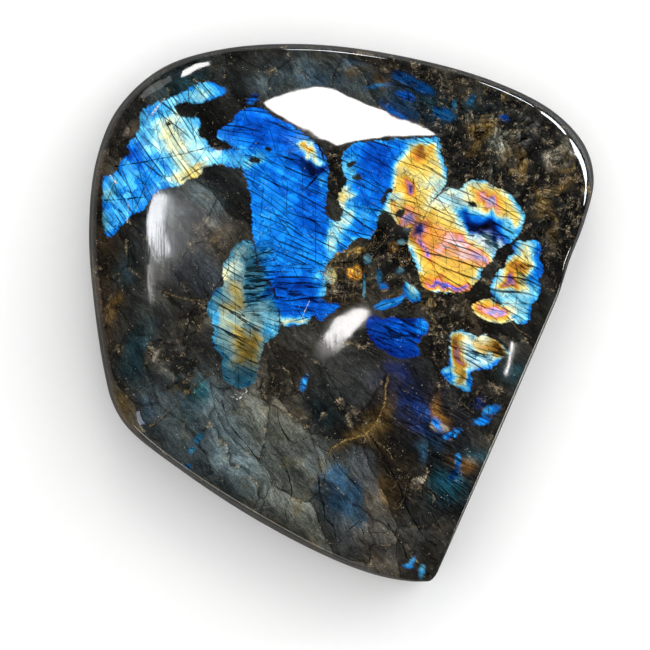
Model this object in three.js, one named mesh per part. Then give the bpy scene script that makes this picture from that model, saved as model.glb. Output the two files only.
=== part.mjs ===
// A polished freeform labradorite: one solid stone, lying on its flat back with the flashing face up.
// Millimetres, +Z up. Seen from above, +X is right and +Y is up.
// The origin is under the middle of the outline.
import * as THREE from "three";
import { mergeVertices } from "three/addons/utils/BufferGeometryUtils.js";

// The polished face: a low dome
const FACE_TOP = 37; // height of its crown
const CROWN_X = 4;
const CROWN_Y = 4;
const DOME_RADIUS_X = 300; // how gently it falls away from its crown, sideways
const DOME_RADIUS_Y = 250; // and lengthways

// Low humps left by hand polishing: place, reach and height
const HUMPS = [
  { x: -27, y: 22, reach: 24, height: 0.5 },
  { x: 32, y: 20, reach: 22, height: 0.4 },
  { x: 2, y: 47, reach: 16, height: 0.45 },
  { x: -12, y: -30, reach: 22, height: 0.4 },
  { x: 20, y: -22, reach: 14, height: -0.25 },
];

// The flat cut on the lower right, upright and straight, on which the stone can also be stood
const CUT_ANGLE = THREE.MathUtils.degToRad(-23.4); // direction of its outward normal
const CUT_DISTANCE = 47.25; // from the origin
const CUT_UPPER_END = 24.5; // its ends, measured along it from the foot of that normal
const CUT_LOWER_END = -49.6;

// The section of the rim: rim, radius of the front edge; flare, how far the widest line stands
// outside that edge; roll and fall, width and drop of the face's fall towards it;
// low, height of the widest line; back, width of the rounding under it.
const CUT_SECTION = { rim: 0.7, flare: 0, roll: 6, fall: 0, low: 1, back: 1 };
const SECTION_VALUES = Object.keys(CUT_SECTION);

// Stations round the widest outline, anticlockwise from the cut's upper end to its lower end
const STATIONS = [
  { ...cutPoint(CUT_UPPER_END), ...CUT_SECTION },
  { x: 57, y: 13.6, rim: 1.8, flare: 0.6, roll: 8, fall: 0.5, low: 6, back: 5 },
  { x: 60.6, y: 23, rim: 2.2, flare: 0.5, roll: 11, fall: 1.2, low: 11, back: 11 },
  { x: 62.9, y: 33, rim: 2.8, flare: 0.5, roll: 14, fall: 2.4, low: 14, back: 16 },
  { x: 60.8, y: 41.5, rim: 3, flare: 0.5, roll: 16, fall: 3, low: 14, back: 17 },
  { x: 53, y: 50, rim: 2.4, flare: 0.5, roll: 20, fall: 3.4, low: 14, back: 17 },
  { x: 38, y: 57.6, rim: 2, flare: 0.5, roll: 24, fall: 3.8, low: 14, back: 16 },
  { x: 16, y: 63.7, rim: 2, flare: 0.5, roll: 26, fall: 4.2, low: 14, back: 16 },
  { x: -8, y: 66.9, rim: 2, flare: 0.5, roll: 28, fall: 4.4, low: 14, back: 16 },
  { x: -30, y: 65.7, rim: 2, flare: 0.5, roll: 24, fall: 4.2, low: 14, back: 16 },
  { x: -45, y: 61, rim: 2.2, flare: 0.6, roll: 20, fall: 4.6, low: 14, back: 18 },
  { x: -56, y: 51, rim: 2.4, flare: 0.6, roll: 18, fall: 5, low: 13, back: 18 },
  { x: -61.4, y: 38, rim: 2.6, flare: 0.6, roll: 17, fall: 5, low: 13, back: 18 },
  { x: -63.2, y: 21, rim: 2.6, flare: 0.6, roll: 16, fall: 5, low: 13, back: 17 },
  { x: -62, y: 3, rim: 2.6, flare: 0.6, roll: 14, fall: 4.6, low: 13, back: 16 },
  { x: -59.3, y: -15, rim: 2.6, flare: 0.7, roll: 11, fall: 3.6, low: 13, back: 14 },
  { x: -57.3, y: -22.5, rim: 2.4, flare: 0.8, roll: 8, fall: 2.4, low: 13, back: 12 },
  { x: -53.5, y: -28.8, rim: 1.5, flare: 1.1, roll: 6, fall: 1.2, low: 12, back: 10 },
  { x: -40, y: -39.6, rim: 0.8, flare: 1.5, roll: 6, fall: 0.6, low: 12, back: 9 },
  { x: -20, y: -52.6, rim: 0.8, flare: 1.8, roll: 6, fall: 0.6, low: 12, back: 9 },
  { x: 0, y: -62.6, rim: 0.8, flare: 1.6, roll: 6, fall: 0.6, low: 12, back: 9 },
  { x: 11, y: -66.2, rim: 0.8, flare: 1.2, roll: 6, fall: 0.6, low: 12, back: 8 },
  { x: 19.3, y: -67.3, rim: 0.9, flare: 0.9, roll: 6, fall: 0.4, low: 9, back: 7 },
  { x: 22.3, y: -66.7, rim: 0.9, flare: 0.5, roll: 6, fall: 0.2, low: 5, back: 4 },
  { ...cutPoint(CUT_LOWER_END), ...CUT_SECTION },
];

// Mesh: the face and the back are square grids drawn out to the outline, the rim is rings between them
const GRID = 32;
const RIM_RINGS = 6;
const WALL_RINGS = 4;
const BACK_RINGS = 6;
const ALL_RINGS = RIM_RINGS + WALL_RINGS + BACK_RINGS;
const OUTLINE_SAMPLES = 1500;
const NUDGE = 1e-9; // radians, keeps the first sample from wrapping right round

// A place on the cut's line
function cutPoint(along) {
  return {
    x: CUT_DISTANCE * Math.cos(CUT_ANGLE) - along * Math.sin(CUT_ANGLE),
    y: CUT_DISTANCE * Math.sin(CUT_ANGLE) + along * Math.cos(CUT_ANGLE),
  };
}

// The direction turned into the range from the cut's upper end once round, where the outline's samples lie
function turnFromCut(angle) {
  const start = Math.atan2(STATIONS[0].y, STATIONS[0].x);
  return THREE.MathUtils.euclideanModulo(angle - start, 2 * Math.PI);
}

// The rounded part of the outline sampled finely: direction, radius and section
function sampleOutline() {
  const curve = new THREE.CatmullRomCurve3(
    STATIONS.map((station) => new THREE.Vector3(station.x, station.y, 0)),
    false,
    "centripetal",
  );
  const spans = STATIONS.length - 1;
  const samples = [];
  for (let i = 0; i <= OUTLINE_SAMPLES; i++) {
    const along = (i / OUTLINE_SAMPLES) * spans;
    const span = Math.min(Math.floor(along), spans - 1);
    const share = THREE.MathUtils.smoothstep(along - span, 0, 1);
    const place = curve.getPoint(i / OUTLINE_SAMPLES);
    const sample = { turn: turnFromCut(Math.atan2(place.y, place.x) + NUDGE), radius: place.length() };
    for (const key of SECTION_VALUES) {
      sample[key] = THREE.MathUtils.lerp(STATIONS[span][key], STATIONS[span + 1][key], share);
    }
    samples.push(sample);
  }
  return samples;
}

const OUTLINE = sampleOutline();

// The section in one direction: the cut's own, or between the two nearest samples
function sectionAt(angle) {
  const turn = turnFromCut(angle);
  const high = OUTLINE.findIndex((sample) => sample.turn > turn);
  if (high < 0) {
    const radius = CUT_DISTANCE / Math.cos(angle - CUT_ANGLE);
    return { ...CUT_SECTION, radius, edge: radius };
  }
  const from = OUTLINE[Math.max(high - 1, 0)];
  const to = OUTLINE[high];
  const share = to.turn > from.turn ? (turn - from.turn) / (to.turn - from.turn) : 0;
  const section = {};
  for (const key of ["radius", ...SECTION_VALUES]) {
    section[key] = THREE.MathUtils.lerp(from[key], to[key], share);
  }
  section.edge = section.radius - section.flare;
  return section;
}

// Height of the face at a distance from the origin along a direction
function faceHeight(section, angle, distance) {
  const x = distance * Math.cos(angle);
  const y = distance * Math.sin(angle);
  let height = FACE_TOP;
  height -= (x - CROWN_X) ** 2 / (2 * DOME_RADIUS_X);
  height -= (y - CROWN_Y) ** 2 / (2 * DOME_RADIUS_Y);
  for (const hump of HUMPS) {
    height += hump.height * Math.exp(-((x - hump.x) ** 2 + (y - hump.y) ** 2) / hump.reach ** 2);
  }
  const rolled = Math.max(0, 1 - (section.edge - distance) / section.roll);
  return height - section.fall * rolled ** 2;
}

// A point of the rim's section, as distance and height.
// Ring 0 is where the face ends, and the last ring is where the flat back begins.
function rimPoint(section, angle, ring) {
  const inner = section.edge - section.rim;
  const top = faceHeight(section, angle, inner);
  const slope = Math.atan(faceHeight(section, angle, inner - 1) - top);
  const steep = Math.atan2(top - section.low, 2 * section.flare);
  // An arc from the face's slope to the wall's, sized to end on the front edge
  const size = section.rim / (Math.sin(steep) - Math.sin(slope));
  const arc = (turn) => [
    inner + (Math.sin(turn) - Math.sin(slope)) * size,
    top - (Math.cos(slope) - Math.cos(turn)) * size,
  ];
  if (ring <= RIM_RINGS) {
    return arc(THREE.MathUtils.lerp(slope, steep, ring / RIM_RINGS));
  }
  if (ring <= RIM_RINGS + WALL_RINGS) {
    const share = (ring - RIM_RINGS) / WALL_RINGS;
    const height = THREE.MathUtils.lerp(arc(steep)[1], section.low, share);
    return [section.radius - section.flare * (1 - share) ** 2, height];
  }
  const turn = ((ring - RIM_RINGS - WALL_RINGS) / BACK_RINGS) * (Math.PI / 2);
  return [section.radius - section.back * (1 - Math.cos(turn)), section.low * (1 - Math.sin(turn))];
}

// Each vertex of a subdivided box goes to its place on the stone: top to face, sides to rim, bottom to back
function stoneGeometry() {
  const box = new THREE.BoxGeometry(2, 2, 2, GRID, GRID, ALL_RINGS);
  box.deleteAttribute("normal");
  box.deleteAttribute("uv");
  const geometry = mergeVertices(box);
  const position = geometry.getAttribute("position");
  for (let i = 0; i < position.count; i++) {
    const x = position.getX(i);
    const y = position.getY(i);
    const ring = Math.round(((1 - position.getZ(i)) / 2) * ALL_RINGS);
    // The square drawn out to a disk
    const diskX = x * Math.sqrt(1 - y ** 2 / 2);
    const diskY = y * Math.sqrt(1 - x ** 2 / 2);
    const angle = Math.atan2(diskY, diskX);
    const section = sectionAt(angle);
    let [distance, height] = rimPoint(section, angle, ring);
    if (ring === 0 || ring === ALL_RINGS) {
      distance *= Math.hypot(diskX, diskY);
    }
    if (ring === 0) {
      height = faceHeight(section, angle, distance);
    }
    position.setXYZ(i, distance * Math.cos(angle), distance * Math.sin(angle), height);
  }
  geometry.computeVertexNormals();
  return geometry;
}

// Near-black plagioclase under a high polish
function polishedLabradorite() {
  return new THREE.MeshStandardMaterial({ color: 0x23282b, roughness: 0.12, metalness: 0 });
}

const stone = new THREE.Mesh(stoneGeometry(), polishedLabradorite());
stone.name = "stone";

const labradorite = new THREE.Group();
labradorite.add(stone);

export default labradorite;
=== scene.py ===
"""A polished freeform labradorite, lying on its back on a pale floor and seen from straight above."""

import math
from typing import NamedTuple

import bpy
import numpy as np
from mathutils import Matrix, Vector


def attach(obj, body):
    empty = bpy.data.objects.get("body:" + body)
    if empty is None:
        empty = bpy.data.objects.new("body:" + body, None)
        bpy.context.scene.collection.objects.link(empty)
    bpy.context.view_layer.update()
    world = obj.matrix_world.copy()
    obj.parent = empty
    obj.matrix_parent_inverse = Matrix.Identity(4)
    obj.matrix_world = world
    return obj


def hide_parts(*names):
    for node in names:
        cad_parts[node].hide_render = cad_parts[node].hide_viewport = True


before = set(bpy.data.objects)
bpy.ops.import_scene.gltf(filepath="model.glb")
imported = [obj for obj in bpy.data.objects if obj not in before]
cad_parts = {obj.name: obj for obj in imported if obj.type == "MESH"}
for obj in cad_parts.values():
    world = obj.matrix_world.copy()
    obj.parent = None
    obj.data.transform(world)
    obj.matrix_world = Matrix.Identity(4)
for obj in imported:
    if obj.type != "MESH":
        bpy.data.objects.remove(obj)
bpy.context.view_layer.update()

MM = 0.001

# The stone's shape, in millimetres, as in its solid
FACE_TOP = 37
CROWN = (4, 4)
DOME_RADIUS = (300, 250)
HUMPS = [
    # x, y, reach, height
    (-27, 22, 24, 0.5),
    (32, 20, 22, 0.4),
    (2, 47, 16, 0.45),
    (-12, -30, 22, 0.4),
    (20, -22, 14, -0.25),
]
CUT_ANGLE = math.radians(-23.4)
CUT_DISTANCE = 47.25
CUT_UPPER_END = 24.5
CUT_LOWER_END = -49.6

# The columns of a station: its place; rim, radius of the front edge; flare, how far the widest line
# stands outside that edge; roll and fall, width and drop of the face's fall towards it;
# low, height of the widest line; back, width of the rounding under it.
COLUMNS = ("x", "y", "rim", "flare", "roll", "fall", "low", "back")
CUT_SECTION = (0.7, 0, 6, 0, 1, 1)
STATIONS = [
    (57, 13.6, 1.8, 0.6, 8, 0.5, 6, 5),
    (60.6, 23, 2.2, 0.5, 11, 1.2, 11, 11),
    (62.9, 33, 2.8, 0.5, 14, 2.4, 14, 16),
    (60.8, 41.5, 3, 0.5, 16, 3, 14, 17),
    (53, 50, 2.4, 0.5, 20, 3.4, 14, 17),
    (38, 57.6, 2, 0.5, 24, 3.8, 14, 16),
    (16, 63.7, 2, 0.5, 26, 4.2, 14, 16),
    (-8, 66.9, 2, 0.5, 28, 4.4, 14, 16),
    (-30, 65.7, 2, 0.5, 24, 4.2, 14, 16),
    (-45, 61, 2.2, 0.6, 20, 4.6, 14, 18),
    (-56, 51, 2.4, 0.6, 18, 5, 13, 18),
    (-61.4, 38, 2.6, 0.6, 17, 5, 13, 18),
    (-63.2, 21, 2.6, 0.6, 16, 5, 13, 17),
    (-62, 3, 2.6, 0.6, 14, 4.6, 13, 16),
    (-59.3, -15, 2.6, 0.7, 11, 3.6, 13, 14),
    (-57.3, -22.5, 2.4, 0.8, 8, 2.4, 13, 12),
    (-53.5, -28.8, 1.5, 1.1, 6, 1.2, 12, 10),
    (-40, -39.6, 0.8, 1.5, 6, 0.6, 12, 9),
    (-20, -52.6, 0.8, 1.8, 6, 0.6, 12, 9),
    (0, -62.6, 0.8, 1.6, 6, 0.6, 12, 9),
    (11, -66.2, 0.8, 1.2, 6, 0.6, 12, 8),
    (19.3, -67.3, 0.9, 0.9, 6, 0.4, 9, 7),
    (22.3, -66.7, 0.9, 0.5, 6, 0.2, 5, 4),
]

# The fine mesh: a square grid for the face, and rings for all that lies outside it
GRID = 250
RIM_RINGS = 10
WALL_RINGS = 8
BACK_RINGS = 8
FLAT_RINGS = 5

# The camera: straight above, so that 4 pixels are a millimetre at the height of the widest outline
CAMERA_HEIGHT = 1014
CAMERA_PLACE = (-4.125, -3.125, CAMERA_HEIGHT)
WIDEST_HEIGHT = 14
FRAME_WIDTH = 162.5
# What lies on the face is nearer the camera than the outline, so it looks this much larger
MEAN_FACE_HEIGHT = FACE_TOP - 2
FACE_ENLARGED = (CAMERA_HEIGHT - WIDEST_HEIGHT) / (CAMERA_HEIGHT - MEAN_FACE_HEIGHT)

# The fine mesh follows its curves a little further out than the solid's facets do,
# so it is made this much smaller
INSIDE = (0.998, 0.9998, 0.9998)


def smooth_line(points, closed, steps):
    """A centripetal Catmull-Rom curve through the points, with that many steps to a span."""
    p = np.array(points, float)
    if closed:
        p = np.vstack([p[-1:], p, p[:2]])
    else:
        p = np.vstack([2 * p[0] - p[1], p, 2 * p[-1] - p[-2]])
    t = np.linspace(0, 1, steps, endpoint=False)[:, None]
    spans = []
    for before, start, end, after in zip(p, p[1:], p[2:], p[3:]):
        d0, d1, d2 = (np.linalg.norm(v) ** 0.5 for v in (start - before, end - start, after - end))
        leave = ((start - before) / d0 - (end - before) / (d0 + d1) + (end - start) / d1) * d1
        arrive = ((end - start) / d1 - (after - start) / (d1 + d2) + (after - end) / d2) * d1
        bend = -3 * start + 3 * end - 2 * leave - arrive
        spans.append(start + leave * t + bend * t**2 + (2 * start - 2 * end + leave + arrive) * t**3)
    curve = np.vstack(spans)
    return curve if closed else np.vstack([curve, p[-2]])


def smoothstep(value, low=0.0, high=1.0):
    """0 below low, 1 above high, and a smooth rise between them."""
    t = np.clip((value - low) / (high - low), 0, 1)
    return t * t * (3 - 2 * t)


def cut_point(along):
    """A place on the line of the flat cut."""
    c, s = math.cos(CUT_ANGLE), math.sin(CUT_ANGLE)
    return (CUT_DISTANCE * c - along * s, CUT_DISTANCE * s + along * c)


def turn_from_cut(angle):
    """A direction, as the turn anticlockwise from the cut's upper end."""
    x, y = cut_point(CUT_UPPER_END)
    return np.mod(angle - math.atan2(y, x), 2 * math.pi)


def sampled_outline():
    """The rounded part of the outline, finely sampled: turn, radius and section."""
    rows = [cut_point(CUT_UPPER_END) + CUT_SECTION, *STATIONS, cut_point(CUT_LOWER_END) + CUT_SECTION]
    steps = 60
    place = smooth_line([row[:2] for row in rows], False, steps)
    share = smoothstep(np.linspace(0, 1, steps, endpoint=False))[:, None]
    values = np.array([row[2:] for row in rows], float)
    sections = np.vstack([a + (b - a) * share for a, b in zip(values, values[1:])] + [values[-1:]])
    tiny = 1e-9
    turn = turn_from_cut(np.arctan2(place[:, 1], place[:, 0]) + tiny)
    return turn, np.hypot(*place.T), sections


OUTLINE_TURN, OUTLINE_RADIUS, OUTLINE_SECTIONS = sampled_outline()


def section_at(angle):
    """The section in each direction, as a dict of arrays."""
    turn = turn_from_cut(angle)
    on_cut = turn > OUTLINE_TURN[-1]
    section = {}
    for column, cut_value, values in zip(COLUMNS[2:], CUT_SECTION, OUTLINE_SECTIONS.T):
        section[column] = np.where(on_cut, cut_value, np.interp(turn, OUTLINE_TURN, values))
    away = np.where(on_cut, angle - CUT_ANGLE, 0)
    section["radius"] = np.where(
        on_cut, CUT_DISTANCE / np.cos(away), np.interp(turn, OUTLINE_TURN, OUTLINE_RADIUS)
    )
    section["edge"] = section["radius"] - section["flare"]
    return section


def face_height(section, angle, distance):
    """Height of the face at a distance from the origin along each direction."""
    x = distance * np.cos(angle)
    y = distance * np.sin(angle)
    height = FACE_TOP
    for place, crown, radius in zip((x, y), CROWN, DOME_RADIUS):
        height = height - (place - crown) ** 2 / (2 * radius)
    for hump_x, hump_y, reach, rise in HUMPS:
        height = height + rise * np.exp(-((x - hump_x) ** 2 + (y - hump_y) ** 2) / reach**2)
    rolled = np.maximum(0, 1 - (section["edge"] - distance) / section["roll"])
    return height - section["fall"] * rolled**2


def rim_arc(section, angle):
    """The rim's arc in each direction: where it starts, its top, its slopes at both ends and its radius."""
    inner = section["edge"] - section["rim"]
    top = face_height(section, angle, inner)
    slope = np.arctan(face_height(section, angle, inner - 1) - top)
    steep = np.arctan2(top - section["low"], 2 * section["flare"])
    size = section["rim"] / (np.sin(steep) - np.sin(slope))
    return inner, top, slope, steep, size


def face_point(x, y):
    """The point of the face or of its rim over each place."""
    angle = np.arctan2(y, x)
    distance = np.hypot(x, y)
    section = section_at(angle)
    inner, top, slope, steep, size = rim_arc(section, angle)
    turn = np.arcsin(np.clip((distance - inner) / size + np.sin(slope), -1, np.sin(steep)))
    on_rim = top - (np.cos(slope) - np.cos(turn)) * size
    height = np.where(distance > inner, on_rim, face_height(section, angle, distance))
    return np.stack([x, y, height], axis=-1)


def rim_profile(section, angle):
    """Distance and height of every ring of the section, from the face's end to the start of the flat back."""
    inner, top, slope, steep, size = rim_arc(section, angle)
    rings = []
    for share in np.linspace(0, 1, RIM_RINGS + 1):
        turn = slope + (steep - slope) * share
        distance = inner + (np.sin(turn) - np.sin(slope)) * size
        rings.append((distance, top - (np.cos(slope) - np.cos(turn)) * size))
    wall_top = rings[-1][1]
    for share in np.linspace(0, 1, WALL_RINGS + 1)[1:]:
        distance = section["radius"] - section["flare"] * (1 - share) ** 2
        rings.append((distance, wall_top + (section["low"] - wall_top) * share))
    for turn in np.linspace(0, math.pi / 2, BACK_RINGS + 1)[1:]:
        distance = section["radius"] - section["back"] * (1 - np.cos(turn))
        rings.append((distance, section["low"] * (1 - np.sin(turn))))
    return rings


def ring_points(distance, angle, height):
    """Points given by distance, direction and height."""
    return np.stack([distance * np.cos(angle), distance * np.sin(angle), height], axis=1)


def stone_mesh():
    """The stone's points in millimetres and its faces."""
    step = np.linspace(-1, 1, GRID + 1)
    square_x, square_y = (v.ravel() for v in np.meshgrid(step, step))
    disk_x = square_x * np.sqrt(1 - square_y**2 / 2)
    disk_y = square_y * np.sqrt(1 - square_x**2 / 2)
    angle = np.arctan2(disk_y, disk_x)
    section = section_at(angle)
    distance = (section["edge"] - section["rim"]) * np.hypot(disk_x, disk_y)
    points = [ring_points(distance, angle, face_height(section, angle, distance))]

    number = np.arange((GRID + 1) ** 2).reshape(GRID + 1, GRID + 1)
    corners = [number[:-1, :-1], number[:-1, 1:], number[1:, 1:], number[1:, :-1]]
    quads = [np.stack(corners, axis=-1).reshape(-1, 4)]
    border = np.concatenate([number[0, :-1], number[:-1, -1], number[-1, :0:-1], number[:0:-1, 0]])

    angle = angle[border]
    rings = rim_profile(section_at(angle), angle)[1:]
    flat_edge = rings[-1][0]
    for share in np.linspace(1, 0, FLAT_RINGS + 1)[1:-1]:
        rings.append((flat_edge * share, np.zeros_like(angle)))
    last = border
    count = number.size
    for distance, height in rings:
        points.append(ring_points(distance, angle, height))
        ring = count + np.arange(len(border))
        quads.append(np.stack([last, ring, np.roll(ring, -1), np.roll(last, -1)], axis=1))
        last = ring
        count += len(border)
    points.append(np.zeros((1, 3)))
    fan = np.stack([last, np.full_like(last, count), np.roll(last, -1)], axis=1)
    return np.vstack(points) * INSIDE, np.vstack(quads).tolist() + fan.tolist()


# The flash: each field of colour that the stone shows from above. Places are as the picture shows them,
# in millimetres from the outline's middle, and angles are in degrees.
class Patch(NamedTuple):
    """One field of flash."""

    outline: list
    phase: float  # place on the scale of interference colours, well inside
    rim: float  # the same at its border
    rise: float  # how far inside the border the full phase is reached
    lines: float  # direction of its fine parallel lines
    shade: float = 1.0
    soft: float = 1.0  # how gradually it ends


PATCHES = {
    "upper_left": Patch(
        [(-48.2, 52.4), (-51, 49.9), (-50.7, 46.8), (-52, 44.8), (-53.9, 42.3), (-53, 40.1), (-55, 39.1),
         (-57.2, 35.3), (-60, 34.1), (-60.2, 29.8), (-60, 21.4), (-58.6, 18.8), (-55, 22.1), (-52.7, 24.4),
         (-49.7, 25.8), (-46.4, 30.1), (-40.7, 31.8), (-38.4, 33.4), (-35.4, 34.4), (-34.7, 36.1), (-31, 37),
         (-28, 36.4), (-25, 36.6), (-24, 40), (-28, 41), (-31, 40.5), (-33, 41.8), (-33.7, 43.4),
         (-36, 44.1), (-35.5, 46.8), (-35.7, 48.9), (-37.7, 48.8), (-40, 49.4), (-42, 51.4), (-40, 53),
         (-36.5, 52.6), (-35, 52.8), (-32, 53.8), (-28.7, 55.4), (-31.7, 57.8), (-33.7, 58.1),
         (-37, 57.4), (-40, 55.6), (-44, 53.8)],
        phase=0.37, rim=0.33, rise=1.5, lines=-58, shade=1.2, soft=1.6,
    ),
    "middle": Patch(
        [(-25.2, 50.8), (-20.4, 51.4), (-15.4, 48.4), (-11, 45.8), (-8.2, 43.8), (-5.7, 41.6), (-4.4, 39.5),
         (-3.8, 38), (-3.4, 36.5), (-3.3, 34), (-3.5, 31), (-4, 28.5), (-3.8, 24.5), (-1.5, 22.8),
         (0, 21), (0, 17), (-2, 14), (-3.7, 12.1), (-4.4, 9.8), (-4, 7.1), (-5.4, 4.4), (-4.7, 3.1),
         (-0.4, 2), (-2, 0), (-3.7, -1.2), (-5.4, -2.2), (-7, -0.9), (-8.7, -2.6), (-10.7, -3.2),
         (-15, -2.9), (-15.7, 0.8), (-16.7, 2.4), (-16.4, 4.8), (-17.7, 7.4), (-20, 9.1), (-20.4, 11.1),
         (-21, 13.4), (-21.7, 17.4), (-22.4, 21.1), (-22.5, 27.1), (-23.4, 31.8), (-24.9, 36.1),
         (-26, 41), (-31, 43.5), (-31, 45.5), (-28, 47.5)],
        phase=0.31, rim=0.31, rise=1.2, lines=-32, shade=1.08,
    ),
    "right": Patch(
        [(0.5, 40), (2, 41.5), (4, 42.5), (8, 43), (15, 43.5), (20, 43.5), (14.5, 40), (13, 36), (13, 31),
         (12, 27.5), (11.5, 25.5), (9.5, 24.8), (8.8, 22), (8, 19.5), (6.5, 18.2), (3.5, 18.5),
         (1.5, 16), (-0.5, 15), (-2.5, 17), (-1.5, 19.5), (-1, 22), (0.5, 25), (-1.2, 28), (0, 30.5),
         (1.5, 33), (0.5, 34.5), (0, 37)],
        phase=0.3, rim=0.36, rise=1.2, lines=-30, shade=1.05,
    ),
    "gold_upper": Patch(
        [(15, 40), (17, 42), (20, 43.5), (24.6, 43.5), (24.8, 40), (26.3, 36), (26.3, 33.5), (25.5, 30.8),
         (23.5, 28.5), (22, 25.5), (20, 23), (16, 21), (13.5, 22.8), (11.5, 25.5), (10.8, 28), (11.5, 31),
         (12, 34), (12.5, 37.5)],
        phase=0.65, rim=0.38, rise=2.2, lines=-30, shade=1.05,
    ),
    "gold_main": Patch(
        [(25, 30.5), (27, 31.5), (29, 31), (32.5, 33.2), (35, 33), (39.5, 31), (42, 30), (44.5, 26.5),
         (45.8, 24.5), (45.5, 22), (43.5, 18.5), (41.5, 17), (38.5, 15.5), (38, 13.5), (35, 10.5),
         (34.5, 8.5), (33, 7), (32, 5.5), (25, 5), (20.5, 6.5), (19.5, 9), (18.5, 12), (17, 15.5),
         (16.8, 19), (18, 21.5), (20.5, 24), (22.5, 27.5)],
        phase=0.65, rim=0.42, rise=2.0, lines=-28, shade=1.1,
    ),
    "right_edge": Patch(
        [(43, 17.5), (46, 17.8), (49, 17.8), (50, 16), (49.5, 13), (50.6, 11.5), (49.5, 8), (50, 6.5),
         (49, 4), (47.5, 1.5), (47, -1.8), (45, -3), (43.5, -2.5), (40, 2), (37, 5.5), (37.5, 7),
         (39, 10), (41, 11.5), (41.5, 13.5), (43, 15.5)],
        phase=0.45, rim=0.34, rise=1.5, lines=-30,
    ),
    "lens": Patch(
        [(32.5, 1.5), (34.5, 2.7), (36.5, 3.7), (38.5, 2.5), (41, 1.5), (43.5, 0), (44.5, -1.5),
         (42, -2.3), (38, -2.5), (34.5, -1)],
        phase=0.66, rim=0.56, rise=1.0, lines=-30,
    ),
    "fan": Patch(
        [(27.4, -5.1), (29.6, -4.4), (31.6, -5.1), (33.6, -5.9), (35.6, -5.4), (37.6, -6.6), (39.6, -7.6),
         (41.6, -9.4), (42.1, -10.4), (39.6, -11.9), (37.6, -13.9), (34.6, -14.4), (32.1, -15.1),
         (32.9, -16.9), (32.1, -19.9), (29.6, -18.9), (26.6, -16.9), (24.9, -15.4), (25.1, -14.1),
         (26.9, -12.9), (26.9, -9.9), (27.1, -7.4)],
        phase=0.6, rim=0.36, rise=1.4, lines=-25, shade=0.8,
    ),
    "deep_blue": Patch(
        [(7, -0.5), (10, -1.5), (13, -1), (17, -1.5), (21, -1.8), (21.7, -3.5), (21.5, -5), (20, -6.5),
         (19, -8), (19.5, -10.5), (18, -11.2), (14, -11.5), (11, -10), (8.5, -8), (7, -6), (6, -3)],
        phase=0.25, rim=0.2, rise=1.5, lines=-24, shade=0.75, soft=1.4,
    ),
    "streak": Patch(
        [(8, 1), (10, 3), (13.5, 3.5), (15.5, 4.5), (15.5, 3), (13, 1.5), (10, 0.8)],
        phase=0.38, rim=0.34, rise=1, lines=15, shade=0.8,
    ),
    "drop": Patch(
        [(16, 7.5), (18, 6.5), (19.8, 4), (19, 2.5), (17, 3), (15.5, 5)],
        phase=0.42, rim=0.34, rise=1.2, lines=-50, shade=0.6,
    ),
    "teal": Patch(
        [(-27, 16.5), (-25, 17.8), (-22.5, 18), (-21.5, 15), (-20.6, 11), (-19, 8.5), (-17, 5), (-16, 2),
         (-15.5, -2), (-15.5, -4), (-16.5, -6), (-18.5, -7), (-20, -10), (-21, -14.5), (-21.5, -17),
         (-23, -18.2), (-25.5, -19), (-28, -18), (-29.5, -16), (-30, -11), (-31.5, -9.5), (-32.5, -7),
         (-31.8, -4.5), (-32.5, -2), (-33.7, 0.5), (-33.5, 2), (-32.3, 4), (-32, 5.5), (-29.7, 6.5),
         (-29.8, 9), (-29.5, 12), (-28.5, 13.5)],
        phase=0.46, rim=0.41, rise=1.5, lines=-32, shade=0.36,
    ),
}


class Tint(NamedTuple):
    """A soft oval that shifts the flash towards its own colour."""

    x: float
    y: float
    long: float
    short: float
    tilt: float
    phase: float
    shade: float = 1.0
    bloom: float = 0.0  # how far it is washed out to white


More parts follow.
